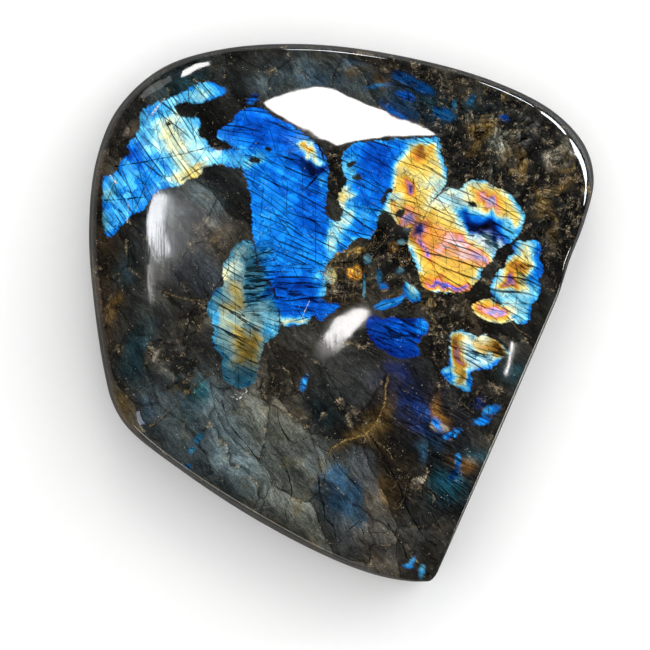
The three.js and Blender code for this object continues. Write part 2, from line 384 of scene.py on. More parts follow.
TINTS = [Tint(*values) for values in [
    # upper left
    (-41.5, 42.5, 14, 8.5, -62, 0.46, 1.3, 0.1),
    (-41.5, 41.5, 12, 3.2, -66, 0.56, 1.2),
    (-36.6, 35, 4.6, 1.5, 12, 0.62),
    (-50, 33.5, 8, 3.4, 35, 0.36, 1.3),
    (-53, 39.3, 3.6, 1.4, -5, 0.2),
    (-35.5, 55.3, 3.5, 1.6, 20, 0.47),
    (-60.4, 26, 8, 1.8, 80, 0.42, 0.3),
    (-53.5, 47, 4, 3, 50, 0.42, 0.6),
    (-47, 52, 4, 2, 30, 0.36),
    # middle
    (-20, 46, 10, 4, -12, 0.25, 0.9),
    (-22.5, 38.6, 4, 2, 10, 0.43),
    (-17, 26, 9, 4.2, -65, 0.335, 1.05),
    (-14, 15, 9, 4.5, -35, 0.335, 1.0),
    (-7.4, 22.6, 5, 2, -35, 0.26, 0.75),
    (-6.6, 31, 5, 2.2, 90, 0.27, 0.9),
    (-8.7, 40.6, 4.6, 2.1, -28, 0.47, 1.1, 0.3),
    (-8.6, 40.4, 3.3, 1.1, -30, 0.72, 1.1),
    (-7.2, 36.6, 4, 1.6, -12, 0.2, 0.06),
    (-3.6, 34, 4, 1, 90, 0.38),
    (-1.8, 18.5, 4.5, 1.6, 75, 0.48),
    (-12, -2.3, 4, 1.3, 0, 0.56),
    (-12, 5.5, 9, 3.4, -8, 0.24, 0.7),
    (-5.5, 9, 3, 1.5, 80, 0.38),
    # right
    (2.3, 37.2, 3.6, 2.2, 90, 0.46),
    (0.4, 29, 3, 1.3, 80, 0.6),
    (0.6, 22.5, 4, 1.7, 80, 0.49),
    (6, 24, 3, 2.5, 0, 0.37),
    (8, 38, 5, 3, 0, 0.25, 0.85),
    # gold, upper lobe
    (19.7, 40.3, 2.4, 2, 0, 0.75, 0.4),
    (23.5, 32.5, 4, 2.6, -10, 0.52),
    (20, 36, 4, 2.6, 30, 0.61),
    (16.2, 31.5, 2.0, 1.6, 60, 0.9, 0.2),
    (21.5, 42.6, 5, 1.3, 0, 0.4),
    (14, 27, 3, 2, 60, 0.5),
    (16.5, 23.8, 3.6, 2, 0, 0.94, 0.6, 0.3),
    # gold, main lobe
    (25, 25, 6, 4.4, 20, 0.62, 1.1),
    (27, 28.4, 5, 2.4, 15, 0.5, 1.1, 0.4),
    (37, 31, 5, 1.6, -15, 0.56),
    (27, 17.6, 7.4, 4.4, -30, 0.76, 1.1, 0.25),
    (28.8, 16.6, 4, 2.2, -40, 0.8, 1.1, 0.9),
    (23, 20.6, 2, 4, 20, 0.72, 1.1),
    (30, 18.7, 2.6, 0.9, -35, 0.89),
    (34.4, 13.8, 3.6, 1.4, -35, 0.9, 1.1, 0.3),
    (20.2, 16.2, 2.9, 1.1, -60, 0.94),
    (18.4, 20.3, 2.6, 2.2, 0, 0.93, 0.12),
    (26, 6.8, 7.4, 1.1, -6, 0.94),
    (37.4, 26.3, 5, 2.8, -45, 0.78),
    (37.2, 26.5, 3.6, 1.4, -45, 0.98, 1.1, 0.6),
    (36.9, 21, 8.4, 4, -24, 0.36, 1.1),
    (36.4, 21.4, 7.2, 2.6, -24, 0.26, 0.75),
    (35.6, 21.4, 5.2, 1.5, -24, 0.15, 0.05),
    (36.8, 17.4, 5, 1.8, -25, 0.47, 1.1, 0.9),
    (42, 20.4, 3, 2, -40, 0.4),
    # right edge
    (46, 14, 4.6, 1.8, 80, 0.57),
    (43.8, 9.2, 4.4, 3.6, 20, 0.66, 1.0),
    (44.6, 10.6, 2.8, 1.6, 0, 0.72, 0.6),
    (41.9, 7.7, 1.6, 1.1, 0, 0.9, 0.5),
    (42.6, 3, 5, 2.4, 20, 0.43, 1.1),
    (49.6, 12.6, 6, 1.7, 80, 0.28, 0.8),
    # lens
    (38.3, 0.7, 5, 1.9, -20, 0.77, 1.1),
    (38.1, 0.4, 4.2, 1.1, -20, 0.91, 1.1, 0.3),
    (42.8, 0, 1.6, 2.2, 0, 0.57, 1.1, 0.4),
    (44, -1.5, 2, 1, 0, 0.4),
    # fan
    (28.7, -8, 1.7, 2.4, 0, 0.74, 0.3),
    (30.3, -11.4, 1.9, 2.8, 10, 0.9, 0.22),
    (33.8, -10.6, 3.6, 2.4, -35, 0.44, 1.0, 0.5),
    (35.2, -6.5, 3.8, 1.1, -12, 0.56, 1.1, 0.5),
    (38.4, -9, 3.6, 1.4, -25, 0.72, 0.25),
    (37.4, -12.8, 3.4, 1.2, 30, 0.32),
    (33, -14.2, 2.4, 0.9, -10, 0.3),
    (29.4, -16.6, 1.3, 2.8, 0, 0.68, 0.4),
    (32, -17, 1, 2.4, 0, 0.3),
    (26.2, -15.4, 1.4, 2, 30, 0.3),
    # deep blue
    (20.2, -3.5, 2, 1.6, 0, 0.34, 1.0),
    (19.3, -9, 1.6, 2, 0, 0.3, 0.9),
    # teal
    (-27.8, 10.5, 4.4, 2.1, 85, 0.53, 0.95, 0.2),
    (-21.6, 10, 8, 3.4, 80, 0.41, 0.22),
    (-27.3, 3.4, 3.8, 2, 80, 0.61, 0.36),
    (-27.4, -2.6, 4, 3, -20, 0.53, 0.85),
    (-31.8, -2.5, 5.6, 1.5, 80, 0.39, 0.95),
    (-24.4, -6.6, 3.2, 2, -30, 0.64, 0.36),
    (-23.4, -10.6, 5, 3, 70, 0.64, 0.16),
    (-17.8, -3.6, 3, 2.6, 0, 0.41, 0.85),
    (-25.5, -16, 5, 3.6, 0, 0.42, 0.1),
]]

# Small flashes that stand alone: x, y, long, short, tilt, phase, shade
SPOTS = [
    (-22.3, 53.6, 1.6, 1, 30, 0.3, 1),
    (23.9, -27.9, 1.9, 1, -65, 0.33, 1),
    (27.7, -30.5, 2.2, 0.9, 30, 0.34, 0.95),
    (35.1, -27.3, 2, 1, 10, 0.32, 1),
    (37.3, -24.4, 2, 1.1, 20, 0.36, 0.7),
    (29.2, -37, 0.9, 1.8, 0, 0.38, 0.55),
    (28.3, -40.4, 2.2, 1.1, 55, 0.33, 0.7),
    (-9.4, -17.6, 2, 0.8, 75, 0.35, 0.8),
    (-35.8, -31.4, 1.6, 1, 60, 0.42, 0.16),
    (-37.4, -34.4, 1.1, 0.8, 40, 0.38, 0.35),
    (-38.6, -38.6, 0.9, 0.7, 0, 0.38, 0.2),
    (17.9, -62.4, 1.3, 0.5, 60, 0.36, 0.9),
    (16.8, -63.7, 1, 0.6, 0, 0.38, 0.7),
    (20.3, -65, 1.7, 0.7, 80, 0.44, 0.7),
    (16.3, 54.4, 2.4, 1.2, -20, 0.27, 0.6),
    (9.3, 57, 2.8, 0.6, 8, 0.41, 0.45),
    (13, 50.6, 3.4, 0.8, -32, 0.33, 0.6),
    (25.7, 49.9, 3.2, 1.6, -20, 0.38, 0.22),
    (16, 58.9, 3.6, 1.4, -20, 0.32, 0.22),
    (20.6, 56.4, 3, 1.3, -30, 0.31, 0.2),
    (32.6, 53.4, 0.8, 1.6, -30, 0.38, 0.2),
    (41, 49, 1.3, 1, 0, 0.3, 0.3),
    (28.4, 52.4, 0.6, 1.6, 0, 0.42, 0.2),
    # between the gold and the blue
    (-2.6, 9, 1.3, 2.2, 10, 0.6, 0.55),
    (-4.8, 6, 1, 2.6, 0, 0.55, 0.6),
    (5.6, 6.5, 0.45, 3.6, 0, 0.44, 0.3),
    (6.4, 13.2, 1.1, 1.5, 0, 0.44, 0.22),
    (10.4, 6.5, 1.1, 0.8, -20, 0.3, 0.5),
    (14.6, 10.6, 0.9, 0.7, 0, 0.42, 0.3),
    (9.4, 9, 0.7, 1.8, 0, 0.4, 0.14),
    (14.9, 17.6, 0.9, 0.8, 0, 0.45, 0.3),
]

# Where the fine lines run another way than in the rest of their field: x, y, long, short, tilt, direction
TURNS = [
    (-20, 47, 14, 6, -12, -14),
    (-11, 4, 12, 7.5, 0, -8),
    (-20.5, 8, 10, 4, 80, 2),
    (36.5, 22, 7, 4, -25, -25),
]

# Where the flash is broken up by dark streaks: x, y, long, short, tilt, strength
WORN = [
    (-11, 4.5, 9, 5, -8, 0.75),
    (-20.5, 9, 9, 3.6, 80, 0.9),
    (-25, -6, 14, 6, 80, 0.62),
    (-15, 33, 8, 5, -40, 0.3),
    (-12, 20, 10, 6, -40, 0.3),
    (8, 34, 8, 8, 0, 0.3),
    (-20, 46, 8, 4, -12, 0.35),
    (-7, 28, 10, 4, 90, 0.35),
    (-55, 38, 6, 4, 60, 0.4),
    (-55, 25, 7, 4, 60, 0.35),
    (37.6, 19, 7, 4.4, -25, 0.8),
    (13, -6, 9, 6, 0, 0.8),
    (33, -11, 8, 8, 0, 0.5),
    (45, 5, 6, 12, 0, 0.4),
    (2, 8, 8, 8, 0, 0.6),
    (15, 28, 5, 8, 0, 0.4),
    (20, -28, 14, 12, 0, 0.6),
    (27, -42, 7, 8, 0, 0.9),
    (44, 10, 4, 4, 0, 0.7),
    (38.4, -9, 4, 2, -25, 0.8),
    (20, 56, 14, 7, -20, 0.6),
]

# Black crystals enclosed in the flash: x, y, long, short, tilt
INCLUSIONS = [
    (-21.5, 38.2, 1.4, 0.7, -10),
    (-18.2, 40.8, 0.6, 0.6, 0),
    (2.5, 37.2, 0.9, 0.6, 30),
    (4, 33.8, 1.1, 0.7, -10),
    (12, 30.5, 1.2, 0.6, 30),
    (10.5, 28.3, 1, 0.8, 60),
    (-53.5, 45.5, 1.8, 1.8, 0),
    (-43.5, 47.5, 0.8, 0.6, 0),
    (14.6, 24.8, 1.2, 0.8, 30),
    (33, 27, 1.0, 0.5, -30),
]

# The soft tones of the dark stone, as a screen shows them
TONES = {
    "ground": (34, 34, 31),
    "black": (14, 14, 13),
    "charcoal": (52, 53, 51),
    "grey_green": (104, 108, 98),
    "steel": (36, 74, 102),
    "blue_grey": (84, 100, 106),
    "grey_brown": (98, 90, 78),
    "pale": (158, 148, 128),
    "teal": (20, 66, 78),
    "olive": (104, 82, 40),
    "brown": (50, 39, 25),
    "navy": (18, 42, 84),
    "indigo": (20, 32, 80),
    "slate": (50, 56, 62),
    "cobalt": (26, 56, 128),
    "azure": (44, 104, 196),
    "gold": (176, 122, 34),
}
# Where they lie: x, y, long, short, tilt, tone, strength
TONE_BLOBS = [
    (-45, 8, 26, 14, 90, "charcoal", 0.6),
    # Painted reflection: a soft blue-grey haze beside the left highlight
    (-38, 27, 12, 7, 20, "blue_grey", 0.35),
    (-33, -31, 15, 9, -35, "blue_grey", 0.7),
    (-50, -10, 8, 4, 80, "teal", 0.6),
    (-39.5, -26, 2.4, 2.4, 0, "teal", 0.8),
    (-47, -25, 4, 3, 60, "steel", 0.45),
    (-55, 10, 5, 3, 60, "teal", 0.4),
    (-35, -2, 5, 2.6, 50, "pale", 0.12),
    (-24, -11, 5, 3, 70, "brown", 0.4),
    (-45, -9, 4, 3, 60, "grey_brown", 0.3),
    (-31, 19, 7, 4, -30, "grey_brown", 0.7),
    (-61, 5, 36, 4, 90, "brown", 0.9),
    (-55, -23, 6, 3, -60, "olive", 0.5),
    (-59, 1.5, 4, 1, 70, "olive", 0.8),
    (-12, -38, 17, 9, -50, "grey_green", 0.8),
    (-28, -33, 12, 8, -35, "blue_grey", 0.6),
    (-40, -27, 8, 6, -40, "charcoal", 0.6),
    (-37, -20, 3, 3, 0, "teal", 0.9),
    (-2, -46, 10, 4.6, -62, "steel", 0.6),
    (9, -54, 11, 6, -55, "grey_brown", 0.7),
    (4.6, -32, 8, 6, -50, "black", 0.6),
    (-4.5, -23, 5, 5, 0, "teal", 0.5),
    (-14, -20, 9, 6, -50, "grey_brown", 0.6),
    (-20, -28, 6, 4, -50, "grey_green", 0.5),
    (3, -14, 9, 6, -45, "charcoal", 0.6),
    (15, -42, 13, 6, -60, "brown", 0.8),
    (20, -54, 9, 5, -60, "charcoal", 0.7),
    (14, -33, 10, 5, -50, "black", 0.8),
    (24, -34, 13, 8, -55, "black", 0.8),
    (29, -47, 12, 5, -65, "black", 0.7),
    (34, -20, 10, 6, -60, "black", 0.7),
    (14, -16, 3.4, 1.4, -35, "indigo", 0.9),
    (16, -21, 5.4, 1.2, -30, "indigo", 0.8),
    (18.6, -25, 5.4, 1.5, -28, "cobalt", 0.8),
    (22.4, -26.6, 1.8, 1.2, -28, "azure", 0.5),
    (20, -30, 5, 1.3, -26, "cobalt", 0.45),
    (24.4, -33.4, 3.4, 1.3, -28, "steel", 0.45),
    (25.6, -24.9, 3, 1.7, -65, "gold", 0.7),
    (34.6, -22.2, 1.7, 1.3, 0, "cobalt", 0.9),
    (20.9, -35.4, 2.2, 1.6, -20, "steel", 0.7),
    (34, -35, 3, 2, -40, "teal", 0.9),
    (31.4, -37.6, 2.4, 2.3, 0, "gold", 0.6),
    (31.7, -37.6, 1, 0.9, 0, "black", 0.9),
    (27.5, -43, 4.6, 3.4, 60, "teal", 1),
    (28.6, -41, 3, 1.4, 60, "steel", 0.7),
    (44, -15, 2.6, 2.6, 0, "teal", 0.7),
    (-14, -10, 6, 4, 0, "black", 0.5),
    (18, -22, 11, 6, -30, "navy", 0.25),
    (8.8, -26, 6, 2.2, 68, "olive", 0.6),
    (2.5, -32, 5, 1.6, 28, "olive", 0.6),
    (3, 59, 16, 4, -12, "blue_grey", 0.45),
    (18.6, 57.6, 7, 3, -25, "steel", 0.8),
    (18, 51.2, 6, 2.8, -25, "navy", 1),
    (2.4, 62.4, 2, 1.2, 0, "steel", 0.8),
    (10.2, 58.9, 2.4, 1.3, -10, "olive", 0.9),
    (1.6, 58.8, 2.2, 1.2, 0, "olive", 0.7),
    (30.8, 54.6, 2.6, 2.8, 0, "grey_brown", 0.6),
    (27.4, 59.4, 6, 1.5, -25, "pale", 0.5),
    (16, 62.4, 9, 1.4, -14, "grey_brown", 0.7),
    (-7, 58.5, 5.4, 2, -10, "steel", 0.7),
    (1, 9, 5.5, 6, 0, "olive", 0.5),
    (-14, 58, 10, 3.5, 0, "blue_grey", 0.6),
    (-40, 58, 7, 4, 30, "teal", 0.5),
    (28, 51, 12, 5, -25, "teal", 0.8),
    (10, 62.5, 12, 3, -8, "brown", 0.7),
    (45, 38, 22, 16, -40, "black", 0.8),
    (55, 12, 9, 5, 60, "black", 0.7),
    (54.6, 40, 4.6, 2.6, 70, "charcoal", 0.8),
    (-34, 49, 8, 5, 0, "black", 0.95),
    (12, 12, 8, 7, 0, "black", 0.5),
    (30, -2, 8, 5, -60, "brown", 0.7),
]

# Crisp, angular crystals that stand out: x, y, long, short, tilt, tone, strength
LEAVES = [
    (34, 45.4, 5, 3.4, -18, "olive", 0.9),
    (31.4, 41.6, 3.4, 1.8, 60, "olive", 0.5),
    (37.8, 41.4, 5, 3.2, 15, "grey_green", 0.5),
    (38.8, 38, 2.8, 1.6, -70, "grey_green", 0.4),
    (46, 35.6, 4, 2.6, -50, "olive", 0.42),
    (51.2, 27.2, 5.4, 2.2, -70, "olive", 0.4),
    (54.6, 40, 4, 2.2, 70, "pale", 0.25),
    (56.4, 32.4, 3.8, 2, 40, "olive", 0.4),
    (43, 30.5, 3.4, 1.8, 20, "charcoal", 0.6),
    (47.6, 46.6, 4.4, 2.2, -35, "charcoal", 0.6),
    (44.6, 42.6, 2.6, 3.4, 20, "charcoal", 0.4),
    (52.4, 19.4, 2, 3.4, 10, "olive", 0.3),
    (-2.8, 8.8, 1.9, 3.4, 0, "pale", 0.6),
    (3.6, 10.4, 1.5, 2.1, 0, "gold", 1),
    (3.4, 15.4, 2, 1.3, 0, "olive", 0.9),
    (12, 15.4, 2.4, 1.6, -40, "gold", 0.55),
    (1, 6.3, 1.7, 1.3, 0, "charcoal", 1),
    (-0.6, 4.8, 4.4, 1.8, 0, "pale", 0.35),
    (8.8, 18, 2.2, 3.4, -35, "black", 1),
    (15.7, 14, 1.8, 2.6, 0, "black", 1),
    (-46.4, -8.9, 2.6, 2.2, 40, "grey_brown", 0.5),
    (-34.5, 10, 7, 8.4, 10, "slate", 0.7),
    (-53.4, 45.7, 2.2, 2.2, 0, "grey_brown", 1),
    (-14.5, -30.5, 4.6, 5.4, -20, "grey_green", 0.45),
    (-8.6, -35.5, 3.4, 6.4, 45, "charcoal", 0.4),
    (-10, -44, 3.6, 7, 30, "grey_green", 0.4),
    (0.6, -46, 4, 8.4, 25, "steel", 0.75),
    (4.6, -40, 4.4, 6.4, 40, "slate", 0.5),
    (10, -55, 6, 8, 40, "charcoal", 0.7),
    (12, -44.5, 3.4, 5, 40, "olive", 0.3),
    (20, -50, 4, 8, 30, "charcoal", 0.7),
    (25.9, -29.4, 2, 1.6, 0, "pale", 0.8),
    (20.5, -41.7, 2.2, 1.2, 10, "pale", 0.9),
    (17.5, 19.8, 2.4, 1.8, 0, "slate", 1),
]

# Where the stone is a tangle of fine brown crystals: x, y, long, short, tilt, strength
TANGLES = [
    (42, 38, 26, 15, -35, 1.0),
    (52, 18, 12, 6, 60, 0.9),
    (27, 0, 10, 5, -60, 1.0),
    (34, -22, 9, 6, 0, 0.7),
    (12, 14, 8, 7, 40, 1.0),
    (1, 9, 6, 7, 0, 1.0),
    (16, -42, 10, 5, -50, 0.6),
    (-1, 38, 3, 8, 0, 0.9),
    (24, -7, 2.6, 7, 0, 1.0),
    (-40, -14, 8, 6, 45, 0.8),
    (-46, -9, 3, 2.6, 0, 1.1),
    (-36.5, -1.5, 6, 2.6, 50, 1.1),
    (-16, -20, 8, 5, 0, 0.7),
    (25, 60, 22, 5, -18, 0.7),
    (-33, 18, 6, 4, -20, 0.6),
    (20, 4, 6, 4, 0, 0.9),
    (-18, -12, 6, 5, 0, 0.5),
    (-60, 0, 5, 30, 0, 0.5),
]


class Line(NamedTuple):
    """A crack or vein in the face."""

    points: list
    width: float  # millimetres
    filled: float  # 0 open and dark, 0.5 healed with tan mineral, 1 white


LINES = [Line(*values) for values in [
    # the long healed crack down the lower half
    ([(11.7, -15.5), (11, -19), (10.9, -22), (9.9, -25), (8.4, -28), (6.4, -30.1), (3.9, -31.1), (0.6, -32.1),
      (-2.1, -33.9), (-3.1, -35.1)], 0.34, 0.64),
    ([(-3.1, -35.1), (-4.4, -37.9), (-6.1, -40.6), (-9.1, -45.9), (-12.4, -51.1), (-13.6, -53.1)], 0.2, 0.5),
    # left side
    ([(-48.8, -29.8), (-44.8, -26.7), (-41.3, -23.5), (-38.2, -20.4), (-35.9, -17.8),
      (-30.9, -14.4)], 0.18, 0.25),
    ([(-48.4, -28.6), (-44.4, -25.5), (-40.9, -22.3), (-37.8, -19.2), (-35.4, -16.6)], 0.16, 0.45),
    ([(-44.4, 5.1), (-41.4, 4.1), (-37.4, 3.1), (-33.4, 3.1)], 0.3, 0.4),
    ([(-28.4, 15.1), (-25.9, 17.6), (-24.9, 19.6)], 0.22, 0.4),
    ([(-40.4, 11.6), (-38.9, 15.1), (-35.4, 17.6), (-30.9, 16.1), (-28.4, 13.6), (-28.4, 10.6), (-30.9, 7.1),
      (-34.4, 3.6)], 0.16, 0.1),
    ([(-59.9, -3.4), (-58.9, -0.4), (-57.9, 4.6)], 0.3, 0.45),
    # plates of the lower half
    ([(-24.7, -24.6), (-22.7, -28.6), (-21.1, -31.9), (-18.1, -34.9), (-15.4, -36.6), (-13.4, -40.6),
      (-12.4, -45.2), (-14.1, -49.9), (-13.4, -52.6)], 0.17, 0),
    ([(-16, -23.9), (-15.4, -27.9), (-12.1, -32.6), (-8.1, -31.2), (-6.1, -33.2), (-3.4, -34.9)], 0.2, 0.05),
    ([(-12.7, -25.2), (-8.7, -29.2), (-7.7, -31.9)], 0.16, 0.4),
    ([(-5.7, -41.2), (-5.4, -45.2), (-4.4, -48.6), (-4.1, -51.2), (-2.1, -53.6), (-1.4, -56.6)], 0.3, 0),
    ([(-2.1, -35.9), (-0.1, -39.2), (3.3, -42.9), (5.6, -46.6), (6.3, -49.2), (6, -50.6), (2, -54.6),
      (-0.7, -57.9)], 0.2, 0.05),
    ([(6.3, -50.6), (8, -49.2), (10.6, -48.2), (14, -49.2), (15.3, -47.2), (16.3, -43.2)], 0.16, 0.4),
    ([(7.3, -30.9), (10, -35.2), (12.6, -39.9), (14.7, -43.9), (16, -48.1), (18.6, -52.8), (20.7, -56.2),
      (24.1, -58.7)], 0.26, 0),
    ([(5.3, -54.6), (6, -58.6), (7.3, -62.6)], 0.2, 0),
    ([(10.5, -51.1), (13.4, -55.8), (15.6, -59.2), (16.4, -61.7)], 0.26, 0),
    ([(20.2, -43), (22.4, -44.7), (24.5, -47.3), (26.6, -49.8)], 0.24, 0),
    ([(19.5, -46), (22.8, -50.7), (24.1, -53.2), (25.8, -55.3)], 0.22, 0),
    ([(-4.1, -18.6), (-0.7, -23.2), (1, -25.2)], 0.2, 0.05),
    ([(6.6, -31.1), (9.1, -32.5), (11.6, -34.6), (12.9, -36.9)], 0.22, 0.5),
    ([(-30, -22), (-28, -28), (-23.5, -33.5), (-19, -40), (-16, -46)], 0.18, 0),
    # across the flash
    ([(-57.1, 36.8), (-45.5, 38.6), (-32.9, 41.5), (-29.1, 42.4)], 0.26, 0),
    ([(-59.7, 28.3), (-53.4, 28.6), (-48.1, 29.4)], 0.26, 0),
    ([(-40.2, 33.1), (-35.5, 36), (-33.4, 36.8), (-29.1, 37)], 0.24, 0.4),
    ([(-21, 11.4), (-12, 11.9), (-4, 12.2), (3, 12.7)], 0.24, 0),
    ([(-24.5, 35), (-22, 37.5), (-17, 39), (-10, 38)], 0.22, 0),
    ([(-5.8, 42), (-4.6, 39), (-5, 35.5), (-6.5, 33.5), (-9, 31)], 0.3, 0),
    ([(28, 31.5), (25, 30), (22.5, 27.5), (20.5, 23.5)], 0.3, 0.5),
    ([(21, 0.5), (24.5, -3.5), (27.5, -6.5), (28.5, -8)], 0.26, 0.5),
    ([(41.5, -1), (44.5, -4.5), (47.5, -6.3)], 0.22, 0.5),
    # a small grid of healed cracks between the fields
    ([(-2.6, 3), (-2.3, 8), (-2.6, 13)], 0.2, 0.62),
    ([(0.6, 2.6), (0.8, 8), (0.4, 14.6)], 0.16, 0),
    ([(3, 3.4), (2.8, 9), (3.2, 15)], 0.18, 0.5),
    ([(5.2, 5), (5.4, 10), (5, 15.6)], 0.22, 0),
    ([(-5, 8.2), (0, 8), (5, 8.4)], 0.16, 0.55),
    ([(-4.6, 5.2), (0, 4.8), (4.6, 5.4)], 0.2, 0),
    ([(-4, 11), (1, 11.2), (5.6, 10.8)], 0.16, 0.6),
    ([(6, 15.4), (7.4, 17.6), (7.2, 19.4), (9.6, 20.6), (11, 18.8), (9.8, 16.8), (8, 15.4)], 0.11, 0.62),
    ([(8.2, 19.6), (8.8, 17.8), (7.6, 16.4)], 0.12, 0.6),
    ([(15, 11.6), (14.2, 13.6), (14.8, 15.8), (16.4, 16), (17.2, 13.8), (16.4, 11.8),
      (15, 11.6)], 0.11, 0.62),
    ([(15.2, 15), (15.6, 13.4), (15.4, 12.4)], 0.12, 0.6),
    # white scratches
    ([(-48.1, 49.4), (-46.3, 51.9), (-44.6, 54.1)], 0.3, 1),
    ([(-53.9, 22.6), (-53.5, 27.3)], 0.2, 1),
    ([(-58.4, 34.6), (-56.6, 32.6)], 0.2, 1),
    ([(-26.5, -19.5), (-25, -20.3), (-23.6, -19.8), (-24, -18.9)], 0.2, 0.9),
    ([(-27.8, -21), (-26, -21.6), (-24.9, -21)], 0.22, 0.9),
    ([(-10.6, -3), (-8, 3)], 0.12, 0.9),
]]

# Where the polish is brushed, which blurs its highlights: x, y, long, short, tilt, strength
BRUSHED = [
    (-39, 20, 8, 9, 90, 1.2),
    (-46, 12, 3, 6, 0, 0.9),
    (-49, 6, 3, 16, 0, 0.4),
    (-3.5, -8.6, 4, 2.4, 45, 0.7),
]


# Heights in millimetres between which the face's markings fade out down the sides
FRONT_FADES = (14, 24)
# and between which the finish of the walls gives way to the face's
WALL_FADES = (8, 18)


def to_face(places):
    """Where on the face each place of the picture lies."""
    axis = np.array(CAMERA_PLACE[:2])
    return (np.asarray(places, float) - axis) / FACE_ENLARGED + axis


def wavy(points, size, reach, seed):
    """The points pushed about by smooth waves of about that size, by about that reach."""
    random = np.random.default_rng(seed)
    waves = 8
    pushed = points.copy()
    for _ in range(waves):
        heading, turn, start = random.uniform(0, 2 * math.pi, 3)
        length = size * random.uniform(0.6, 1.7)
        across = points @ np.array([math.cos(heading), math.sin(heading)])
        push = reach / math.sqrt(waves / 2) * np.sin(2 * math.pi * across / length + start)
        pushed += push[:, None] * np.array([math.cos(turn), math.sin(turn)])
    return pushed


def inside_distance(points, outline):
    """How far each point lies inside a closed outline, negative outside, down to a reach."""
    reach = 12
    depth = np.full(len(points), -float(reach))
    low, high = outline.min(axis=0) - reach, outline.max(axis=0) + reach
    near = np.all((points > low) & (points < high), axis=1)
    x, y = points[near].T
    nearest = np.full(len(x), np.inf)
    inside = np.zeros(len(x), bool)
    for (ax, ay), (bx, by) in zip(outline, np.roll(outline, -1, axis=0)):
        ex, ey = bx - ax, by - ay
        t = np.clip(((x - ax) * ex + (y - ay) * ey) / (ex**2 + ey**2), 0, 1)
        nearest = np.minimum(nearest, np.hypot(x - ax - ex * t, y - ay - ey * t))
        if ey != 0:
            inside ^= ((ay > y) != (by > y)) & (x < ax + ex * (y - ay) / ey)
    depth[near] = np.maximum(np.where(inside, nearest, -nearest), -reach)
    return depth


def line_fields(points):
    """The step from each point to the nearest line, that step's length, and the line's width and filling."""
    reach = 3.0
    near = np.full(len(points), reach)
    steps = np.full((len(points), 2), reach)
    kinds = np.tile((0.1, 0.0), (len(points), 1))
    for line in LINES:
        places = smooth_line(to_face(line.points), False, 4)
        for start, end in zip(places, places[1:]):
            way = end - start
            share = np.clip((points - start) @ way / (way @ way), 0, 1)
            step = start + share[:, None] * way - points
            length = np.hypot(*step.T)
            closer = length < near
            near[closer] = length[closer]
            steps[closer] = step[closer]
            kinds[closer] = (line.width, line.filled)
    names = ("line_near", "line_x", "line_y", "line_width", "line_filled")
    return dict(zip(names, (near, *steps.T, *kinds.T)))


def oval_axes(points, x, y, long, short, tilt):
    """Each point's place along and across an oval, as shares of its two reaches."""
    c, s = math.cos(math.radians(tilt)), math.sin(math.radians(tilt))
    dx, dy = (points - to_face((x, y))).T
    return (dx * c + dy * s) / long, (dy * c - dx * s) / short


def oval_radius(points, *oval):
    """Distance of each point from an oval's middle, 1 being on the oval."""
    return np.hypot(*oval_axes(points, *oval))


def angular_radius(points, *oval):
    """The same for a rhombus with blunt corners."""
    bluntness = 1.3
    along, across = np.abs(oval_axes(points, *oval))
    return (along**bluntness + across**bluntness) ** (1 / bluntness)


def soft_ovals(points, ovals, ground):
    """A field of soft ovals, each with its strength last, over a ground value."""
    field = np.full(len(points), float(ground))
    for *oval, strength in ovals:
        field += (strength - field) * np.exp(-oval_radius(points, *oval) ** 2)
    return field


def flash_fields(points, front):
    """The flash at each point: depth inside it, colour, light, and places along and across its lines."""
    fields = []  # depth, phase, shade, direction of the lines and softness of each field
    for patch in PATCHES.values():
        depth = inside_distance(points, smooth_line(to_face(patch.outline), True, 4))
        phase = patch.rim + (patch.phase - patch.rim) * smoothstep(depth, 0, patch.rise)
        fields.append((depth / patch.soft, phase, patch.shade, patch.lines, patch.soft))
    spot_lines = -30
    spot_softness = 2.5
    for *oval, phase, shade in SPOTS:
        depth = (1 - oval_radius(points, *oval)) * oval[3] / spot_softness
        fields.append((depth, np.full(len(points), phase), shade, spot_lines, spot_softness))
    depths, phases, shades, lines, softness = (np.array(values) for values in zip(*fields))

    # Where fields meet, they blend over about half a millimetre
    blend = 0.5
    lowest = -20
    weights = np.exp(np.maximum(depths - depths.max(axis=0), lowest) / blend)
    weights /= weights.sum(axis=0)
    phase = (weights * phases).sum(axis=0)
    shade = (weights * shades[:, None]).sum(axis=0)
    bloom = np.zeros(len(points))
    uneven = wavy(wavy(points, 9, 0.9, 1), 3.5, 0.45, 2)
    steepness = 2.6
    for tint in TINTS:
        weight = np.exp(-oval_radius(uneven, *tint[:5]) ** steepness)
        phase += (tint.phase - phase) * weight
        shade += (tint.shade - shade) * weight
        bloom += (tint.bloom - bloom) * weight
    nearest = depths.argmax(axis=0)
    degrees = lines[nearest].astype(float)
    for *oval, direction in TURNS:
        degrees[oval_radius(points, *oval) < 1] = direction
    angle = np.radians(degrees)
    x, y = points.T
    depth = depths.max(axis=0)
    for inclusion in INCLUSIONS:
        depth = np.minimum(depth, (oval_radius(points, *inclusion) - 1) * inclusion[3])
    fading = 6  # how much shallower the flash gets where the face ends
    return {
        "flash_depth": depth - fading * (1 - front),
        "phase": phase,
        "shade": shade,
        "bloom": bloom,
        "softness": softness[nearest],
        "worn": soft_ovals(points, WORN, 0.1),
        "along": x * np.cos(angle) + y * np.sin(angle),
        "across": y * np.cos(angle) - x * np.sin(angle),
    }


def linear(red, green, blue):
    """A colour given as a screen shows it, 0 to 255, as the light values that a shader takes."""
    values = (red / 255, green / 255, blue / 255)
    return tuple(v / 12.92 if v <= 0.04045 else ((v + 0.055) / 1.055) ** 2.4 for v in values)


